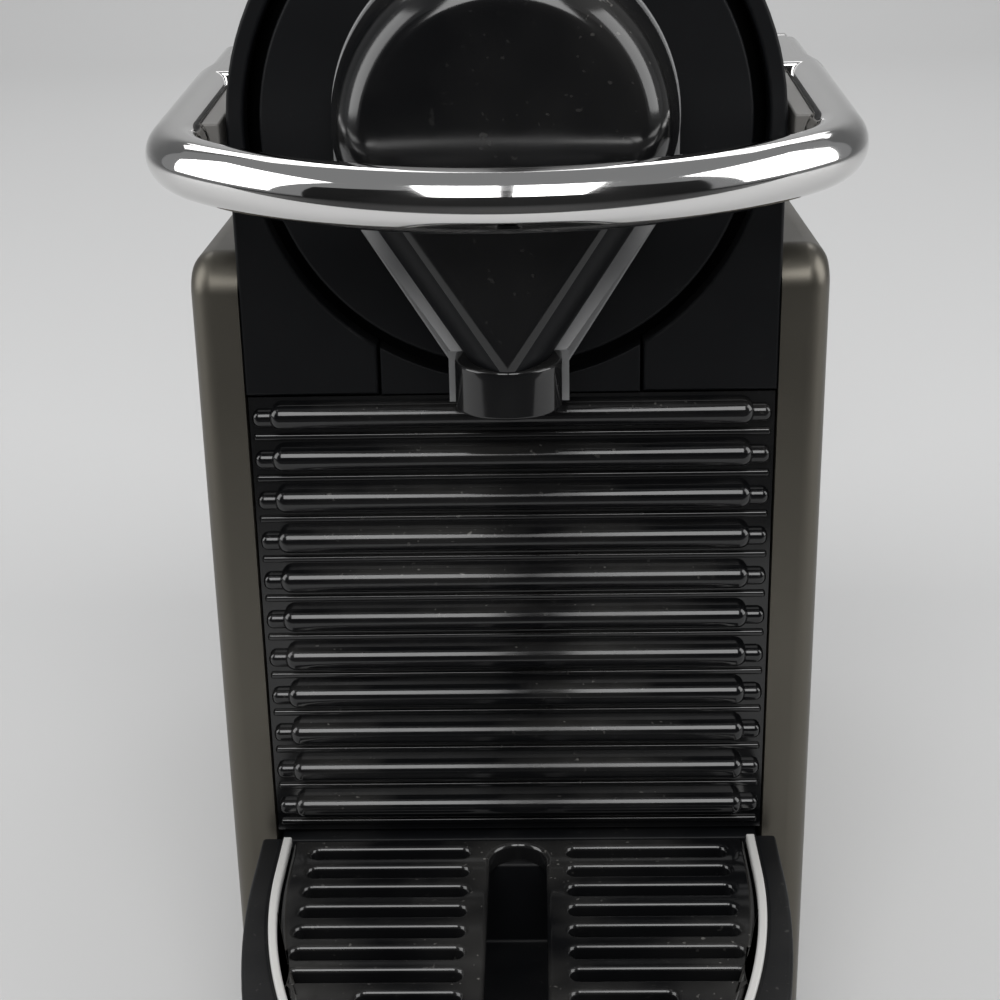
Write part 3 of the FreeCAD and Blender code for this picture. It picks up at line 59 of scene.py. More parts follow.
MM = 0.001
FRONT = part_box("front_disc")[0].y / MM
SHARP = math.radians(32)
BODIES = {}
for body, names in frame["record"]["behaviour"]["bodies"].items():
    BODIES.update(dict.fromkeys(names, body))
SLOTS = {part["node"]: part["material_slot"] for part in frame["record"]["subparts"]}


class FrontSettings(bpy.types.PropertyGroup):
    """Round front, nose and coffee outlet."""

    arch: FloatProperty(name="Arch", description="Outer radius", default=46 * MM, unit="LENGTH")
    ring: FloatProperty(
        name="Ring", description="Outer radius of the groove", default=43 * MM, unit="LENGTH"
    )
    disc: FloatProperty(
        name="Disc", description="Radius of the disc", default=40.5 * MM, unit="LENGTH"
    )
    seam: FloatProperty(
        name="Seam", description="Gap beside the insert", default=0.45 * MM, unit="LENGTH"
    )
    edge: FloatProperty(
        name="Edge", description="Rounding of the front edges", default=0.7 * MM, unit="LENGTH"
    )
    nose: FloatProperty(
        name="Nose", description="Radius at the root", default=27.9 * MM, unit="LENGTH"
    )
    nose_end: FloatProperty(
        name="Nose end", description="Radius in front", default=19 * MM, unit="LENGTH"
    )
    tuck: FloatProperty(
        name="Tuck", description="Step inward of the flanks", default=1.5 * MM, unit="LENGTH"
    )
    fullness: FloatProperty(
        name="Fullness", description="Power of the shoulder curve, 2 for an ellipse", default=2.6
    )
    rim: FloatProperty(
        name="Rim", description="Outer radius of the rim", default=28.4 * MM, unit="LENGTH"
    )
    lean: FloatProperty(
        name="Lean", description="Turn of the nose flanks", default=math.radians(32.9), unit="ROTATION"
    )


class LeverSettings(bpy.types.PropertyGroup):
    """Chrome bow."""

    half: FloatProperty(
        name="Half width", description="Middle to arm", default=53.5 * MM, unit="LENGTH"
    )
    reach: FloatProperty(
        name="Reach", description="Front past the arms", default=35.5 * MM, unit="LENGTH"
    )
    corner: FloatProperty(
        name="Corner", description="Radius of each corner", default=23 * MM, unit="LENGTH"
    )
    arm: FloatProperty(name="Arm", description="Length of each arm", default=63 * MM, unit="LENGTH")
    tube: FloatProperty(
        name="Tube", description="Radius of the tube", default=4.8 * MM, unit="LENGTH"
    )
    slim: FloatProperty(
        name="Slim", description="Share of the tube's width left near the pivot", default=0.62
    )
    hub: FloatProperty(
        name="Hub", description="Radius round the pivot", default=5.0 * MM, unit="LENGTH"
    )
    lean: FloatProperty(
        name="Lean", description="Drop of the lever at rest", default=math.radians(4.4), unit="ROTATION"
    )


class DrawerSettings(bpy.types.PropertyGroup):
    """Ribbed front, tray, trim and grid."""

    ribs: IntProperty(name="Ribs", description="Number of bars", default=11)
    pitch: FloatProperty(
        name="Pitch", description="From bar to bar", default=7.7 * MM, unit="LENGTH"
    )
    bar: FloatProperty(
        name="Bar", description="Half height of a bar", default=2.2 * MM, unit="LENGTH"
    )
    rows: IntProperty(name="Rows", description="Rows of slots in the grid", default=10)
    slot: FloatProperty(name="Slot", description="Width of a slot", default=3.2 * MM, unit="LENGTH")
    lip: FloatProperty(
        name="Lip", description="Rounding round each slot", default=0.9 * MM, unit="LENGTH"
    )
    trim: FloatProperty(
        name="Trim", description="Width of the trim", default=1.5 * MM, unit="LENGTH"
    )


class ShapeSettings(bpy.types.PropertyGroup):
    """Shared form of the moulded pieces."""

    edge: FloatProperty(
        name="Edge", description="Rounding on moulded edges", default=0.4 * MM, unit="LENGTH"
    )
    panel_edge: FloatProperty(
        name="Panel edge", description="Rounding of the side panels", default=4.2 * MM, unit="LENGTH"
    )
    panel_corner: FloatProperty(
        name="Panel corner", description="Corner radius of the side panels", default=7 * MM, unit="LENGTH"
    )
    steps: IntProperty(name="Steps", description="Segments across a rounding", default=4)
    arc_steps: IntProperty(name="Arc steps", description="Segments in a quarter turn", default=24)


class LookSettings(bpy.types.PropertyGroup):
    """Main colours and the strength of the surface effects."""

    body: FloatVectorProperty(
        name="Body", description="Moulded body", default=(0.0028, 0.0031, 0.0038), subtype="COLOR"
    )
    panel: FloatVectorProperty(
        name="Panel", description="Side panels", default=(0.105, 0.097, 0.081), subtype="COLOR"
    )
    bow: FloatVectorProperty(
        name="Bow", description="Chrome of the lever", default=(0.66, 0.655, 0.65), subtype="COLOR"
    )
    grain: FloatProperty(name="Grain", description="Depth of the moulded grain", default=0.12)
    dust: FloatProperty(name="Dust", description="Share of dust on upward faces", default=0.35)
    smudge: FloatProperty(name="Smudge", description="Change of gloss by handling", default=0.12)


class StageSettings(bpy.types.PropertyGroup):
    """Camera and light."""

    lens: FloatProperty(name="Lens", description="Focal length in millimetres", default=64.07)
    place: FloatVectorProperty(
        name="Camera place",
        description="Camera position",
        default=(5.13 * MM, -374.78 * MM, 233.99 * MM),
        unit="LENGTH",
    )
    pitch: FloatProperty(
        name="Pitch", description="Camera turn downward", default=math.radians(20.52), unit="ROTATION"
    )
    yaw: FloatProperty(
        name="Yaw", description="Camera turn to the right", default=math.radians(-1.433), unit="ROTATION"
    )
    roll: FloatProperty(
        name="Roll", description="Camera turn about its axis", default=math.radians(1.166), unit="ROTATION"
    )
    key: FloatProperty(
        name="Key", description="Power of each light above", default=4.4, unit="POWER"
    )
    side: FloatProperty(
        name="Side", description="Power of each side light", default=13.0, unit="POWER"
    )
    back: FloatProperty(
        name="Back", description="Power of the light behind", default=10.0, unit="POWER"
    )
    far: FloatProperty(
        name="Far", description="Power of the light on the far floor", default=20.0, unit="POWER"
    )
    sky: FloatProperty(name="Sky", description="Strength of the even light all round", default=0.34)


# Surface effects shared by the materials

FILM = 0.2


def node_group(name, inputs, outputs, build):
    """A shader node group with float inputs and typed outputs, filled by a function."""
    group = bpy.data.node_groups.new(name, "ShaderNodeTree")
    for label, value in inputs.items():
        socket = group.interface.new_socket(label, in_out="INPUT", socket_type="NodeSocketFloat")
        socket.default_value = value
    for label, kind in outputs.items():
        group.interface.new_socket(label, in_out="OUTPUT", socket_type=kind)
    start = group.nodes.new("NodeGroupInput")
    end = group.nodes.new("NodeGroupOutput")
    build(group, start, end)
    return group


def noise(group, scale, detail=2.0):
    """A noise texture in object coordinates."""
    place = group.nodes.new("ShaderNodeTexCoord")
    texture = group.nodes.new("ShaderNodeTexNoise")
    texture.inputs["Scale"].default_value = scale
    texture.inputs["Detail"].default_value = detail
    group.links.new(place.outputs["Object"], texture.inputs["Vector"])
    return texture


def math_node(group, operation, first, second):
    """A math node between sockets or plain numbers."""
    node = group.nodes.new("ShaderNodeMath")
    node.operation = operation
    for socket, value in zip(node.inputs, (first, second)):
        if isinstance(value, (int, float)):
            socket.default_value = value
        else:
            group.links.new(value, socket)
    return node.outputs["Value"]


def span(group, value, low, high):
    """A value spread from a low to a high mark onto 0 to 1."""
    node = group.nodes.new("ShaderNodeMapRange")
    node.inputs["From Min"].default_value = low
    node.inputs["From Max"].default_value = high
    group.links.new(value, node.inputs["Value"])
    return node.outputs["Result"]


def build_grain(group, start, end):
    """Fine moulded grain as a normal."""
    texture = noise(group, 2600.0, 3.0)
    bump = group.nodes.new("ShaderNodeBump")
    bump.inputs["Distance"].default_value = 0.05 * MM
    group.links.new(start.outputs["Depth"], bump.inputs["Strength"])
    group.links.new(texture.outputs["Fac"], bump.inputs["Height"])
    group.links.new(bump.outputs["Normal"], end.inputs["Normal"])


def build_dust(group, start, end):
    """Specks and a thin film of dust, more on faces that look up."""
    specks = span(group, noise(group, 900.0, 1.0).outputs["Fac"], 0.70, 0.76)
    patches = span(group, noise(group, 35.0, 3.0).outputs["Fac"], 0.42, 0.68)
    geometry = group.nodes.new("ShaderNodeNewGeometry")
    split = group.nodes.new("ShaderNodeSeparateXYZ")
    group.links.new(geometry.outputs["Normal"], split.inputs["Vector"])
    facing = span(group, split.outputs["Z"], -0.2, 0.9)
    film = math_node(group, "MULTIPLY", patches, FILM)
    dust = math_node(group, "ADD", math_node(group, "MULTIPLY", specks, patches), film)
    dust = math_node(group, "MULTIPLY", dust, facing)
    group.links.new(math_node(group, "MULTIPLY", dust, start.outputs["Amount"]), end.inputs["Mask"])


def build_smudge(group, start, end):
    """Uneven gloss left by handling."""
    broad = span(group, noise(group, 45.0, 4.0).outputs["Fac"], 0.35, 0.7)
    change = math_node(group, "MULTIPLY", broad, start.outputs["Amount"])
    group.links.new(math_node(group, "ADD", change, start.outputs["Roughness"]), end.inputs["Roughness"])


DUST_COLOUR = (0.32, 0.31, 0.29, 1.0)
SOFT_SPECULAR = 0.14
TANK_CLEAR = 0.92
TANK_IOR = 1.49
FINISHES = {
    # base colour or the setting that holds it, roughness, metallic, grain, dust, smudge
    "body_black": ("body", 0.46, 0.0, 1.0, 0.3, 0.4),
    "gloss_black": ((0.0035, 0.0036, 0.0040), 0.07, 0.0, 0.0, 1.0, 1.0),
    "panel_satin": ("panel", 0.34, 0.85, 0.6, 0.2, 0.6),
    "chrome": ("bow", 0.045, 1.0, 0.0, 0.15, 0.5),
    "liner_grey": ((0.11, 0.106, 0.10), 0.5, 0.0, 1.0, 0.3, 0.3),
    "rubber": ((0.012, 0.012, 0.012), 0.75, 0.0, 1.0, 0.3, 0.0),
    "steel": ((0.52, 0.52, 0.53), 0.3, 1.0, 0.0, 0.0, 0.6),
    "trim_silver": ((0.60, 0.595, 0.58), 0.36, 0.4, 0.0, 0.1, 0.6),
    "inner_plastic": ((0.02, 0.021, 0.023), 0.5, 0.0, 0.8, 0.3, 0.2),
    "board_green": ((0.015, 0.09, 0.035), 0.4, 0.0, 0.0, 0.2, 0.2),
    "cast_aluminium": ((0.55, 0.55, 0.56), 0.45, 1.0, 1.0, 0.1, 0.3),
    "rim_dark": ((0.15, 0.151, 0.153), 0.34, 0.0, 0.3, 0.4, 0.3),
    "tank_smoke": ((0.20, 0.21, 0.22), 0.06, 0.0, 0.0, 0.3, 0.6),
}


def make_finish(name, groups, look):
    """One material with the shared effects fed into its surface."""
    base, rough, metallic, grain, dust, smudge = FINISHES[name]
    if isinstance(base, str):
        base = getattr(look, base)
    material = bpy.data.materials.new(name + "_finish")
    material.use_nodes = True
    tree = material.node_tree
    surface = tree.nodes["Principled BSDF"]
    surface.inputs["Metallic"].default_value = metallic
    if name == "body_black":
        surface.inputs["Specular IOR Level"].default_value = SOFT_SPECULAR
    if name == "tank_smoke":
        surface.inputs["Transmission Weight"].default_value = TANK_CLEAR
        surface.inputs["IOR"].default_value = TANK_IOR

    def use(key):
        node = tree.nodes.new("ShaderNodeGroup")
        node.node_tree = groups[key]
        return node

    if grain:
        node = use("grain")
        node.inputs["Depth"].default_value = look.grain * grain
        tree.links.new(node.outputs["Normal"], surface.inputs["Normal"])
    surface.inputs["Roughness"].default_value = rough
    if smudge:
        node = use("smudge")
        node.inputs["Roughness"].default_value = rough
        node.inputs["Amount"].default_value = look.smudge * smudge
        tree.links.new(node.outputs["Roughness"], surface.inputs["Roughness"])
    surface.inputs["Base Color"].default_value = (*base, 1.0)
    if dust:
        node = use("dust")
        node.inputs["Amount"].default_value = look.dust * dust
        mix = tree.nodes.new("ShaderNodeMix")
        mix.data_type = "RGBA"
        mix.inputs["A"].default_value = (*base, 1.0)
        mix.inputs["B"].default_value = DUST_COLOUR
        tree.links.new(node.outputs["Mask"], mix.inputs["Factor"])
        tree.links.new(mix.outputs["Result"], surface.inputs["Base Color"])
    return material


class POD_OT_finishes(bpy.types.Operator):
    """Makes the materials and gives them to the CAD nodes"""

    bl_idname = "pod.finishes"
    bl_label = "Make finishes"

    def execute(self, context):
        look = context.scene.pod_look
        value = "NodeSocketFloat"
        groups = {
            "grain": node_group("Grain", {"Depth": 0.1}, {"Normal": "NodeSocketVector"}, build_grain),
            "dust": node_group("Dust", {"Amount": 0.3}, {"Mask": value}, build_dust),
            "smudge": node_group(
                "Smudge", {"Roughness": 0.1, "Amount": 0.1}, {"Roughness": value}, build_smudge
            ),
        }
        for name in FINISHES:
            make_finish(name, groups, look)
        for name, node in frame["nodes"].items():
            for slot in node.material_slots:
                slot.material = bpy.data.materials[SLOTS[name] + "_finish"]
        return {"FINISHED"}


# Shared modelling steps, in millimetres, with depth counted back from the round front


def from_above(across, along, level):
    """A point of an outline seen from above."""
    return Vector((across, FRONT + along, level)) * MM


def from_front(across, height, level):
    """A point of an outline seen from the front."""
    return Vector((across, FRONT + level, height)) * MM


def from_side(along, height, level):
    """A point of an outline seen from the side."""
    return Vector((level, FRONT + along, height)) * MM


def arc(centre, radius, start, end, steps):
    """Points on an arc with both its ends."""
    points = []
    for index in range(steps + 1):
        angle = start + (end - start) * index / steps
        points.append((centre[0] + radius * math.cos(angle), centre[1] + radius * math.sin(angle)))
    return points


def plate(bm, loops, view, low, high):
    """A flat piece between two levels from an outline and any holes."""
    edges = []
    for points in loops:
        ring = [bm.verts.new(view(*point, low)) for point in points]
        edges += [bm.edges.new((ring[index - 1], ring[index])) for index in range(len(ring))]
    if len(loops) == 1:
        faces = [bm.faces.new(ring)]
    else:
        filled = bmesh.ops.triangle_fill(bm, use_beauty=True, edges=edges)
        faces = [item for item in filled["geom"] if isinstance(item, bmesh.types.BMFace)]
        # A fixed order, so that the flat faces are joined in the same way in each run
        sides = dict.fromkeys(edge for face in faces for edge in face.edges)
        inner = [edge for edge in reversed(sides) if not edge.is_boundary]
        verts = list(dict.fromkeys(vert for face in faces for vert in face.verts))
        joined = bmesh.ops.dissolve_limit(bm, angle_limit=0.01, verts=verts, edges=inner)
        faces = [item for item in joined["region"] if isinstance(item, bmesh.types.BMFace)]
    made = bmesh.ops.extrude_face_region(bm, geom=faces)
    moved = [item for item in made["geom"] if isinstance(item, bmesh.types.BMVert)]
    bmesh.ops.translate(bm, verts=moved, vec=view(0, 0, high) - view(0, 0, low))
    bmesh.ops.recalc_face_normals(bm, faces=bm.faces)


def bar(bm, low, high):
    """A plain bar between two corners. Returns its edges."""
    low = Vector(low) * MM
    high = Vector(high) * MM
    place = Matrix.Translation((low + high) / 2) @ Matrix.Diagonal((*(high - low), 1.0))
    made = bmesh.ops.create_cube(bm, size=1.0, matrix=place)
    return list(dict.fromkeys(edge for vert in made["verts"] for edge in vert.link_edges))


def skin(bm, rings):
    """A closed skin over rings of points, with flat ends."""
    loops = []
    for ring in rings:
        verts = [bm.verts.new(point) for point in ring]
        loops.append([bm.edges.new((verts[index - 1], verts[index])) for index in range(len(verts))])
    for first, second in zip(loops, loops[1:]):
        bmesh.ops.bridge_loops(bm, edges=first + second)
    for loop in (loops[0], loops[-1]):
        bmesh.ops.edgeloop_fill(bm, edges=loop)
    bmesh.ops.recalc_face_normals(bm, faces=bm.faces)


def is_sharp(edge):
    """Whether two faces meet at a clear corner."""
    return len(edge.link_faces) == 2 and edge.calc_face_angle() > SHARP


def at_level(edge, axis, level):
    """Whether an edge lies at a level, in millimetres, along an axis."""
    return all(abs(vert.co[axis] / MM - level) < 0.02 for vert in edge.verts)


def lips_at(bm, axis, level):
    """The sharp edges that lie at a level along an axis."""
    return [edge for edge in bm.edges if is_sharp(edge) and at_level(edge, axis, level)]


def round_edges(bm, edges, radius, steps):
    """Rounds edges."""
    bmesh.ops.bevel(
        bm,
        geom=edges,
        offset=radius,
        offset_type="OFFSET",
        segments=steps,
        profile=0.5,
        affect="EDGES",
        clamp_overlap=False,
        material=-1,
    )


def show(bm, name, finish, rides, *nodes):
    """Turns a mesh into a shown piece that rides on a node's body and stands for nodes."""
    bmesh.ops.remove_doubles(bm, verts=bm.verts, dist=0.002 * MM)
    bmesh.ops.recalc_face_normals(bm, faces=bm.faces)
    for face in bm.faces:
        face.smooth = True
    for edge in bm.edges:
        edge.smooth = not is_sharp(edge)
    mesh = bpy.data.meshes.new(name)
    bm.to_mesh(mesh)
    bm.free()
    mesh.materials.append(bpy.data.materials[finish + "_finish"])
    piece = bpy.data.objects.new(name, mesh)
    bpy.context.scene.collection.objects.link(piece)
    normals = piece.modifiers.new("normals", "WEIGHTED_NORMAL")
    normals.keep_sharp = True
    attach(piece, BODIES[rides])
    if nodes:
        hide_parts(*nodes)
    return piece


def repaint(piece, finish, chosen):
    """Gives the chosen faces of a piece a second finish."""
    piece.data.materials.append(bpy.data.materials[finish + "_finish"])
    for face in piece.data.polygons:
        if chosen(face):
            face.material_index = len(piece.data.materials) - 1


def soften(node, radius, steps):
    """Shows a copy of a CAD node with its corners rounded."""
    source = frame["nodes"][node]
    bm = bmesh.new()
    bm.from_mesh(source.data)
    bm.transform(source.matrix_world)
    bmesh.ops.remove_doubles(bm, verts=bm.verts, dist=0.004 * MM)
    bmesh.ops.dissolve_limit(bm, angle_limit=math.radians(0.3), verts=bm.verts, edges=bm.edges)
    round_edges(bm, [edge for edge in bm.edges if is_sharp(edge)], radius, steps)
    return show(bm, node + "_form", SLOTS[node], node, node)


def level_of(node, corner, axis):
    """A bound of a CAD node in millimetres."""
    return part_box(node)[corner][axis] / MM


class POD_OT_front(bpy.types.Operator):
    """Models the round front: frame, disc and insert"""

    bl_idname = "pod.front"
    bl_label = "Model the front"

    def execute(self, context):
        front = context.scene.pod_front
        shape = context.scene.pod_shape
        arch, ring, disc = front.arch / MM, front.ring / MM, front.disc / MM
        half_turn = shape.arc_steps * 2
        low = level_of("front_frame", 0, 2)
        centre = (0, level_of("front_frame", 1, 2) - arch)
        deep = level_of("front_disc", 1, 1) - FRONT
        rear = level_of("front_frame", 1, 1) - FRONT
        insert = level_of("front_insert", 1, 0)
        gap = insert + front.seam / MM
        turn = math.acos(gap / ring)

        bm = bmesh.new()
        outer = arc(centre, arch, math.pi, 0, half_turn)
        inner = arc(centre, ring, -turn, math.pi + turn, half_turn + shape.arc_steps)
        face = [(-arch, low), *outer, (arch, low), (gap, low), *inner, (-gap, low)]
        plate(bm, [face], from_front, 0, deep)
        round_edges(bm, lips_at(bm, 1, FRONT), front.edge, shape.steps)
        plate(bm, [[(-arch, low), *outer, (arch, low)]], from_front, deep, rear)
        show(bm, "front_frame_form", "body_black", "front_frame", "front_frame")

        bm = bmesh.new()
        plate(bm, [arc(centre, disc, 0, 2 * math.pi, half_turn * 2)[:-1]], from_front, 0, deep)
        round_edges(bm, lips_at(bm, 1, FRONT), front.edge, shape.steps)
        show(bm, "front_disc_form", "body_black", "front_disc", "front_disc")

        bm = bmesh.new()
        turn = math.acos(insert / ring)
        crescent = [(-insert, low), (insert, low), *arc(centre, ring, -turn, turn - math.pi, half_turn)]
        plate(bm, [crescent], from_front, 0, deep)
        round_edges(bm, lips_at(bm, 1, FRONT), front.edge / 2, shape.steps)
        show(bm, "front_insert_form", "body_black", "front_insert", "front_insert")
        return {"FINISHED"}


class POD_OT_nose(bpy.types.Operator):
    """Models the nose with its rim, and the coffee outlet"""

    bl_idname = "pod.nose"
    bl_label = "Model the nose"

    def execute(self, context):
        front = context.scene.pod_front
        shape = context.scene.pod_shape
        steps = shape.arc_steps * 3
        lean = front.lean
        root, end, tuck, flange = (v / MM for v in (front.nose, front.nose_end, front.tuck, front.rim))
        deep = FRONT - level_of("nose_cover", 0, 1)
        centre = level_of("nose_cover", 1, 2) - flange
        bottom = level_of("nose_cover", 0, 2)
        spout = level_of("coffee_outlet", 1, 0)
        spout_top, spout_wall, spout_edge = 154.6, 1.5, 0.5
        low = spout_top + 0.05
        tan = math.tan(lean)

        def drop(radius):
            """A drop seen from the front, tucked in at its flanks, which end at the outlet."""
            tip = centre - (radius - tuck) / math.sin(lean)
            foot = max((low - tip) * tan, 0.01)
            points = [(-foot, max(low, tip)), (foot, max(low, tip))]
            for across, up in arc((0, 0), 1.0, -lean, math.pi + lean, steps):
                part = min(max(-up / math.sin(lean), 0.0), 1.0)
                reach = radius - tuck * part * part * (3 - 2 * part)
                points.append((across * reach, centre + up * reach))
            return points

        rings = []
        for across, along in arc((0, 0), 1.0, 0, math.pi / 2, shape.arc_steps):
            across = max(across, 0.0) ** (2 / front.fullness)
            along = along ** (2 / front.fullness)
            rings.append([from_front(*point, -deep * along) for point in drop(end + (root - end) * across)])
        bm = bmesh.new()
        skin(bm, rings)
        nose = show(bm, "nose_form", "gloss_black", "nose_cover", "nose_cover")
        # Painted shade: nose faces that look down and not straight ahead get the dull body finish instead
        # of the gloss, so they stay dark where the gloss would show a bright reflection of the pale floor.
        downward, forward = -0.25, -0.9
        repaint(
            nose, "body_black", lambda face: face.normal.z < downward and face.normal.y > forward
        )

        bm = bmesh.new()
        inner, outer, cheek_top, cheek_deep = spout - 0.8, 9.9, 149.5, 12
        brim, band_top, band_deep, band_edge = flange - 0.1, 179.0, 2, 0.45
        dip = math.acos(brim / flange)
        side = [(inner, low), (inner, bottom), (outer, bottom), (outer, cheek_top), (brim, band_top)]
        band = [*side, *arc((0, centre), flange, -dip, math.pi + dip, steps)]
        band += [(-across, up) for across, up in reversed(side)]
        plate(bm, [band], from_front, -band_deep, 0)
        round_edges(bm, lips_at(bm, 1, FRONT - band_deep), band_edge * MM, shape.steps)
        wedge_top, wedge_in, wedge_out, wedge_tip = 177.6, 22.5, brim - 0.9, 5.0
        corners = [
            (wedge_in, wedge_top, -band_deep),
            (wedge_out, wedge_top, -band_deep),
            (outer - 0.4, low, -cheek_deep),
            (wedge_tip, low, -cheek_deep),
        ]
        for sign in (-1, 1):
            front_ring = [from_front(sign * across, up, level) for across, up, level in corners]
            rear_ring = [from_front(sign * across, up, 0) for across, up, level in corners]
            skin(bm, [front_ring, rear_ring])
            bar(bm, (sign * inner, FRONT - cheek_deep, bottom), (sign * outer, FRONT, low))
        show(bm, "nose_rim_form", "rim_dark", "nose_cover")

        bm = bmesh.new()
        middle = (0, spout + level_of("coffee_outlet", 0, 1) - FRONT)
        curve = arc(middle, spout, 0, -math.pi, steps)
        outline = [(spout, 0), *curve, (-spout, 0)]
        mouth = arc(middle, spout - spout_wall, 0, 2 * math.pi, steps)[:-1]
        lip, roof = bottom + 0.6, spout_top - spout_wall
        plate(bm, [outline, mouth], from_above, lip, roof)
        plate(bm, [outline], from_above, roof, spout_top)
        lips = lips_at(bm, 2, lip) + lips_at(bm, 2, spout_top)
        round_edges(bm, lips, spout_edge * MM, shape.steps)
        show(bm, "coffee_outlet_form", "gloss_black", "coffee_outlet", "coffee_outlet")
        return {"FINISHED"}


class POD_OT_lever(bpy.types.Operator):
    """Models the chrome bow with its hubs, and the liners"""

    bl_idname = "pod.lever"
    bl_label = "Model the lever"

    def execute(self, context):
        lever = context.scene.pod_lever
        shape = context.scene.pod_shape
        half, reach, corner = lever.half / MM, lever.reach / MM, lever.corner / MM
        arm, tube = lever.arm / MM, lever.tube / MM
        shoulder = half - corner
        wide = (shoulder**2 + reach**2 - corner**2) / (2 * (reach - corner))
        turn = math.atan2(wide - reach, shoulder)
        bend = arc((shoulder, -arm), corner, 0, -turn, shape.arc_steps)
        sweep = arc((0, wide - reach - arm), wide, -turn, turn - math.pi, shape.arc_steps * 2)
        arm_end, slim_end, slim_start = 1.5, 17.0, 21.0
        right = [(half, -arm_end), (half, -slim_end), (half, -slim_start), (half, -arm / 2), *bend]
        path = [*right, *sweep[1:-1], *[(-across, along) for across, along in reversed(right)]]

        bm = bmesh.new()
        rings = []
        for index, point in enumerate(path):
            before = Vector(path[max(index - 1, 0)])
            after = Vector(path[min(index + 1, len(path) - 1)])
            way = (after - before).normalized()
            normal = Vector((-way.y, way.x, 0.0))
            middle = Vector((*point, 0.0))
            circle = arc((0, 0), tube, 0, 2 * math.pi, shape.arc_steps * 2)[:-1]
            share = lever.slim if point[1] > -slim_start else 1.0
            rings.append([(middle + normal * a * share + Vector((0, 0, b))) * MM for a, b in circle])
        skin(bm, rings)
        hub, thick, inner, key_long, key_edge = lever.hub / MM, 5.0, 48.5, 27.0, 0.8
        dip = math.asin(tube / hub)
        head = arc((0, 0), hub, dip - math.pi, math.pi - dip, shape.arc_steps * 3)
        key = [(-key_long, -tube), *head, (-key_long, tube)]
        for sign in (-1, 1):
            plate(bm, [key], lambda a, b, c: Vector((c, a, b)) * MM, sign * inner, sign * (inner + thick))
        lips = [edge for edge in bm.edges if is_sharp(edge)]
        round_edges(bm, lips, key_edge * MM, shape.steps)
        low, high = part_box("pivot_bushes")
        pivot = Vector((0.0, (low.y + high.y) / 2, (low.z + high.z) / 2))
        bmesh.ops.rotate(bm, verts=bm.verts, cent=(0, 0, 0), matrix=Matrix.Rotation(lever.lean, 3, "X"))
        bmesh.ops.translate(bm, verts=bm.verts, vec=pivot)
        show(bm, "lever_bow_form", "chrome", "lever_bow", "lever_bow")
        soften("lever_liners", shape.edge, shape.steps)
        return {"FINISHED"}


class POD_OT_panels(bpy.types.Operator):
    """Models both side panels"""

    bl_idname = "pod.panels"
    bl_label = "Model the side panels"

    def execute(self, context):
        shape = context.scene.pod_shape
        corner = shape.panel_corner / MM
        for node, sign in (("side_panel_left", -1), ("side_panel_right", 1)):
            low, high = (corner_point / MM for corner_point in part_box(node))
            outer = high.x if sign > 0 else low.x
            inner = low.x if sign > 0 else high.x
            front, rear = low.y - FRONT + corner, high.y - FRONT - corner
            foot, head = low.z + corner, high.z - corner
            spots = [(front, foot), (rear, foot), (rear, head), (front, head)]
            outline = []
            for index, spot in enumerate(spots):
                start = math.pi + index * math.pi / 2
                outline += arc(spot, corner, start, start + math.pi / 2, shape.arc_steps // 2)
            bm = bmesh.new()
            plate(bm, [outline], from_side, inner, outer)
            round_edges(bm, lips_at(bm, 0, outer), shape.panel_edge, shape.steps * 3)
            show(bm, node + "_form", "panel_satin", node, node)
        return {"FINISHED"}


class POD_OT_ribs(bpy.types.Operator):
    """Models the ribbed front of the drawer"""

    bl_idname = "pod.ribs"
    bl_label = "Model the ribs"

    def execute(self, context):
        drawer = context.scene.pod_drawer
        shape = context.scene.pod_shape
        low, high = (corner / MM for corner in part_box("ribbed_front"))
        wide = high.x
        recess, sunk, first = 1.2, 0.4, 139.8
        root = FRONT + recess
        bm = bmesh.new()
        bar(bm, (-wide, root, low.z), (wide, high.y, high.z))
        # half height, half length, reach forward, drop below the bar's middle, rounding
        bars = (
            (drawer.bar / MM, wide - 3.7, 3.3, 0.0, 2.0),
            (1.5, wide - 0.6, 1.8, 0.4, 1.3),
            (0.6, wide - 0.6, 0.7, 3.9, 0.45),
        )
        for index in range(drawer.ribs):
            for half, reach, out, drop, edge in bars:
                middle = first - drawer.pitch / MM * index - drop
                if middle - half < low.z:
                    continue
                part = bmesh.new()
                low_corner = (-reach, root - out, middle - half)
                edges = bar(part, low_corner, (reach, root + sunk, middle + half))
                edges = [item for item in edges if not at_level(item, 1, root + sunk)]
                round_edges(part, edges, edge * MM, shape.steps * 2)
                mesh = bpy.data.meshes.new("part")
                part.to_mesh(mesh)
                part.free()
                bm.from_mesh(mesh)
                bpy.data.meshes.remove(mesh)
        show(bm, "ribbed_front_form", "gloss_black", "ribbed_front", "ribbed_front")
        return {"FINISHED"}


def tray_outline(half, front, bend, corner, inset, rear, steps):
    """The tray's outline seen from above, from the right rear round the front to the left rear."""
    straight = -16.0
    low = corner - front
    across = math.sqrt((bend - corner) ** 2 - (straight - low) ** 2)
    middle = (half - bend, straight)
    turn = math.atan2(low - straight, across)
    right = [(half - inset, -rear)]
    right += arc(middle, bend - inset, 0, turn, steps)
    right += arc((middle[0] + across, low), corner - inset, turn, -math.pi / 2, steps)[1:]
    return right + [(-x, y) for x, y in reversed(right)]


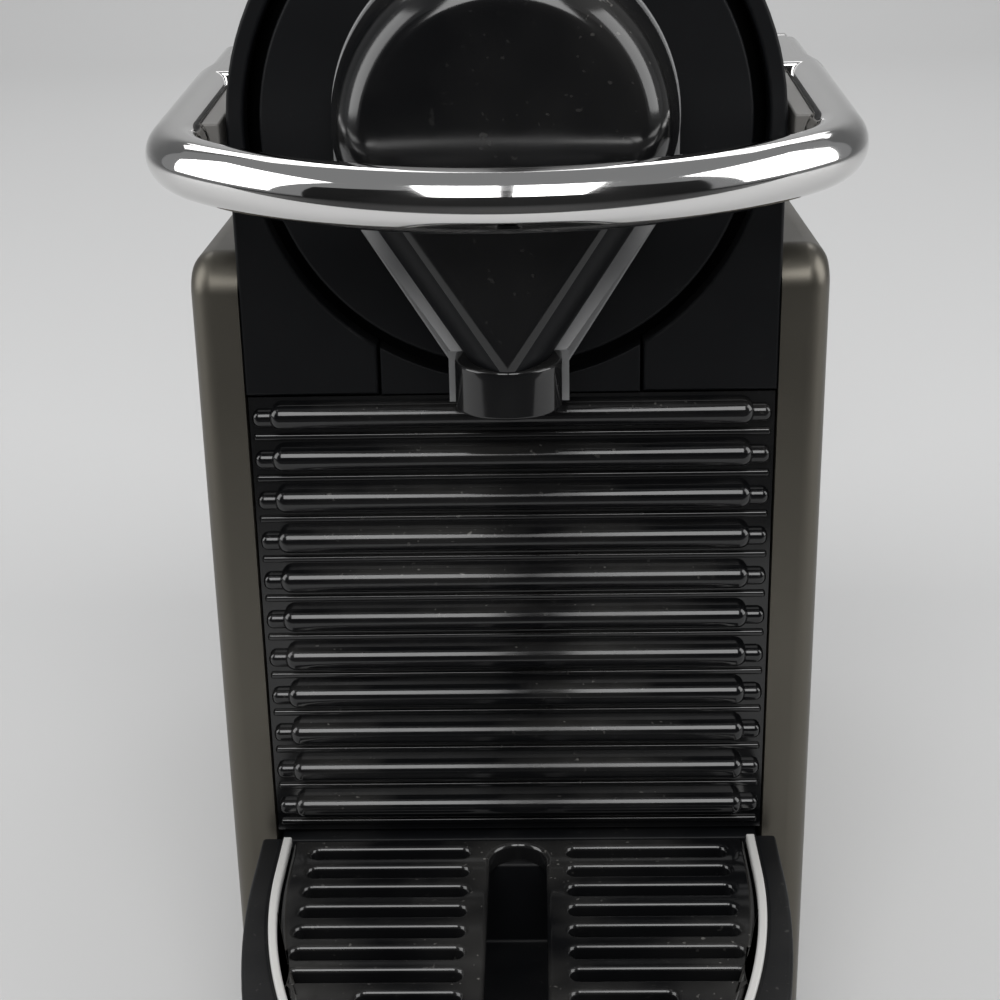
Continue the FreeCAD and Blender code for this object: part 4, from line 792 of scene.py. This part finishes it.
class POD_OT_tray(bpy.types.Operator):
    """Models the drip tray, its trim and the grid"""

    bl_idname = "pod.tray"
    bl_label = "Model the tray"

    def execute(self, context):
        drawer = context.scene.pod_drawer
        shape = context.scene.pod_shape
        steps = shape.arc_steps
        tray_edge, trim_edge = 0.7, 0.35
        soften("drip_tray", tray_edge * MM, shape.steps)

        low, high = (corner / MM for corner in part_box("tray_trim"))
        rear = FRONT - high.y
        bend, corner = 125.0, 22.0
        curve = (high.x, FRONT - low.y, bend, corner)
        bm = bmesh.new()
        band = tray_outline(*curve, 0, rear, steps)
        band += reversed(tray_outline(*curve, drawer.trim / MM, rear, steps))
        plate(bm, [band], from_above, low.z, high.z)
        round_edges(bm, lips_at(bm, 2, high.z), trim_edge * MM, shape.steps)
        show(bm, "tray_trim_form", "trim_silver", "tray_trim", "tray_trim")

        low, high = (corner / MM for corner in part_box("drip_grid"))
        round_end = drawer.slot / MM / 2
        inset, first, row_pitch, end_steps = 2.1, 6.8, 6.27, 12
        slot_in, slot_out, short_out, long_rows = 9.0, 38.3, 26.0, 7
        groove, groove_rear, groove_front = 5.2, 10.8, 64.8
        loops = [tray_outline(*curve, inset, FRONT - high.y, steps)]
        for row in range(drawer.rows):
            along = -first - row_pitch * row - round_end
            outer = slot_out if row < long_rows else short_out
            for sign in (-1, 1):
                ends = sorted((sign * (slot_in + round_end), sign * (outer - round_end)))
                pill = arc((ends[1], along), round_end, -math.pi / 2, math.pi / 2, end_steps)
                pill += arc((ends[0], along), round_end, math.pi / 2, 1.5 * math.pi, end_steps)
                loops.append(pill)
        middle = arc((0, -groove_rear), groove, 0, math.pi, steps)
        middle += arc((0, -groove_front), groove, math.pi, 2 * math.pi, steps)
        loops.append(middle)
        bm = bmesh.new()
        plate(bm, loops, from_above, low.z, high.z)
        round_edges(bm, lips_at(bm, 2, high.z), drawer.lip, shape.steps)
        show(bm, "drip_grid_form", "gloss_black", "drip_grid", "drip_grid")
        return {"FINISHED"}


class POD_OT_housing(bpy.types.Operator):
    """Rounds the corners of the other pieces"""

    bl_idname = "pod.housing"
    bl_label = "Round the housing"

    def execute(self, context):
        shape = context.scene.pod_shape
        for node in ROUNDED:
            soften(node, shape.edge, shape.steps)
        return {"FINISHED"}


ROUNDED = (
    "base_plate",
    "rubber_feet",
    "body_shell",
    "back_cover",
    "drip_base",
    "capsule_container",
    "water_tank",
    "tank_lid",
    "button_small",
    "button_large",
    "chute_shutter",
    "brew_cage",
    "chassis_deck",
    "brew_frame",
    "capsule_plate",
    "thermoblock",
    "pump",
    "cord_gland",
)


# Stage


def area_light(name, place, target, wide, high, power):
    """A soft rectangular light aimed at a point."""
    data = bpy.data.lights.new(name, "AREA")
    data.shape = "RECTANGLE"
    data.size = wide
    data.size_y = high
    data.energy = power
    lamp = bpy.data.objects.new(name, data)
    lamp.location = place
    lamp.rotation_euler = (Vector(target) - Vector(place)).to_track_quat("-Z", "Y").to_euler()
    bpy.context.scene.collection.objects.link(lamp)
    return lamp


def sheet(name, profile, half, grey):
    """A plain grey sheet, drawn from the side and pulled across to both sides."""
    bm = bmesh.new()
    line = [bm.verts.new((-half, along, up)) for along, up in profile]
    edges = [bm.edges.new(ends) for ends in zip(line, line[1:])]
    made = bmesh.ops.extrude_edge_only(bm, edges=edges)
    moved = [item for item in made["geom"] if isinstance(item, bmesh.types.BMVert)]
    bmesh.ops.translate(bm, verts=moved, vec=(2 * half, 0.0, 0.0))
    bmesh.ops.recalc_face_normals(bm, faces=bm.faces)
    for face in bm.faces:
        face.smooth = True
    mesh = bpy.data.meshes.new(name)
    bm.to_mesh(mesh)
    bm.free()
    paint = bpy.data.materials.new(name + "_paint")
    paint.use_nodes = True
    surface = paint.node_tree.nodes["Principled BSDF"]
    surface.inputs["Base Color"].default_value = (grey, grey, grey, 1.0)
    surface.inputs["Roughness"].default_value = 0.7
    mesh.materials.append(paint)
    item = bpy.data.objects.new(name, mesh)
    bpy.context.scene.collection.objects.link(item)
    return item


class POD_OT_stage(bpy.types.Operator):
    """Sets the floor, the light and the camera"""

    bl_idname = "pod.stage"
    bl_label = "Set the stage"

    def execute(self, context):
        scene = context.scene
        look = scene.pod_stage
        # Floor and backdrop in metres, each point along Y and up
        bend = arc((1.6, 1.0), 1.0, -math.pi / 2, 0, 24)
        floor = sheet("floor", [(-5.0, 0.0), *bend, (2.6, 4.0)], 5.0, 0.5)
        # A dark sheet in front, seen only in reflections
        flag = sheet("flag", [(-0.36, 0.002), (-1.5, 0.002), (-1.5, 1.5)], 2.0, 0.015)
        flag.visible_camera = flag.visible_diffuse = flag.visible_shadow = False

        aim = (0.0, -0.05, 0.15)
        lights = [area_light("back", (0.0, 1.3, 1.7), aim, 1.8, 0.8, look.back)]
        lights.append(area_light("far", (0.0, 1.6, 1.9), (0.0, 2.2, 0.0), 3.0, 0.8, look.far))
        for name, sign in (("left", -1), ("right", 1)):
            above = (sign * 0.2, -0.85, 0.85)
            under = (sign * 0.2, *aim[1:])
            beside = (sign * 1.25, -0.25, 0.75)
            lights.append(area_light(name + "_top", above, under, 0.34, 0.7, look.key))
            lights.append(area_light(name + "_side", beside, aim, 0.95, 1.2, look.side))
        world = bpy.data.worlds.new("sky")
        world.use_nodes = True
        background = world.node_tree.nodes["Background"]
        background.inputs["Color"].default_value = (0.80, 0.81, 0.82, 1.0)
        background.inputs["Strength"].default_value = look.sky
        scene.world = world
        scene.view_settings.view_transform = "Standard"

        data = bpy.data.cameras.new("camera")
        data.lens = look.lens
        data.clip_start = 0.01
        camera = bpy.data.objects.new("camera", data)
        turn = Matrix.Rotation(-look.yaw, 4, "Z")
        turn = turn @ Matrix.Rotation(math.pi / 2 - look.pitch, 4, "X")
        turn = turn @ Matrix.Rotation(-look.roll, 4, "Z")
        camera.matrix_world = Matrix.Translation(look.place) @ turn
        scene.collection.objects.link(camera)
        scene.camera = camera
        return {"FINISHED"}


class POD_PT_panel(bpy.types.Panel):
    """Buttons for each group of pieces"""

    bl_idname = "POD_PT_panel"
    bl_label = "Pod machine"
    bl_space_type = "VIEW_3D"
    bl_region_type = "UI"
    bl_category = "Pod machine"

    def draw(self, context):
        for step in STEPS:
            self.layout.operator(step)


STEPS = [
    "pod.finishes",
    "pod.front",
    "pod.nose",
    "pod.lever",
    "pod.panels",
    "pod.ribs",
    "pod.tray",
    "pod.housing",
    "pod.stage",
]
SETTINGS = {
    "pod_front": FrontSettings,
    "pod_lever": LeverSettings,
    "pod_drawer": DrawerSettings,
    "pod_shape": ShapeSettings,
    "pod_look": LookSettings,
    "pod_stage": StageSettings,
}
CLASSES = [
    *SETTINGS.values(),
    POD_OT_finishes,
    POD_OT_front,
    POD_OT_nose,
    POD_OT_lever,
    POD_OT_panels,
    POD_OT_ribs,
    POD_OT_tray,
    POD_OT_housing,
    POD_OT_stage,
    POD_PT_panel,
]


def register():
    for kind in CLASSES:
        bpy.utils.register_class(kind)
    for name, kind in SETTINGS.items():
        setattr(bpy.types.Scene, name, PointerProperty(type=kind))


def unregister():
    for name in SETTINGS:
        delattr(bpy.types.Scene, name)
    for kind in reversed(CLASSES):
        bpy.utils.unregister_class(kind)


def main():
    register()
    for step in STEPS:
        group, name = step.split(".")
        if getattr(getattr(bpy.ops, group), name)() != {"FINISHED"}:
            raise RuntimeError(step + " did not finish")


if __name__ == "__main__":
    main()
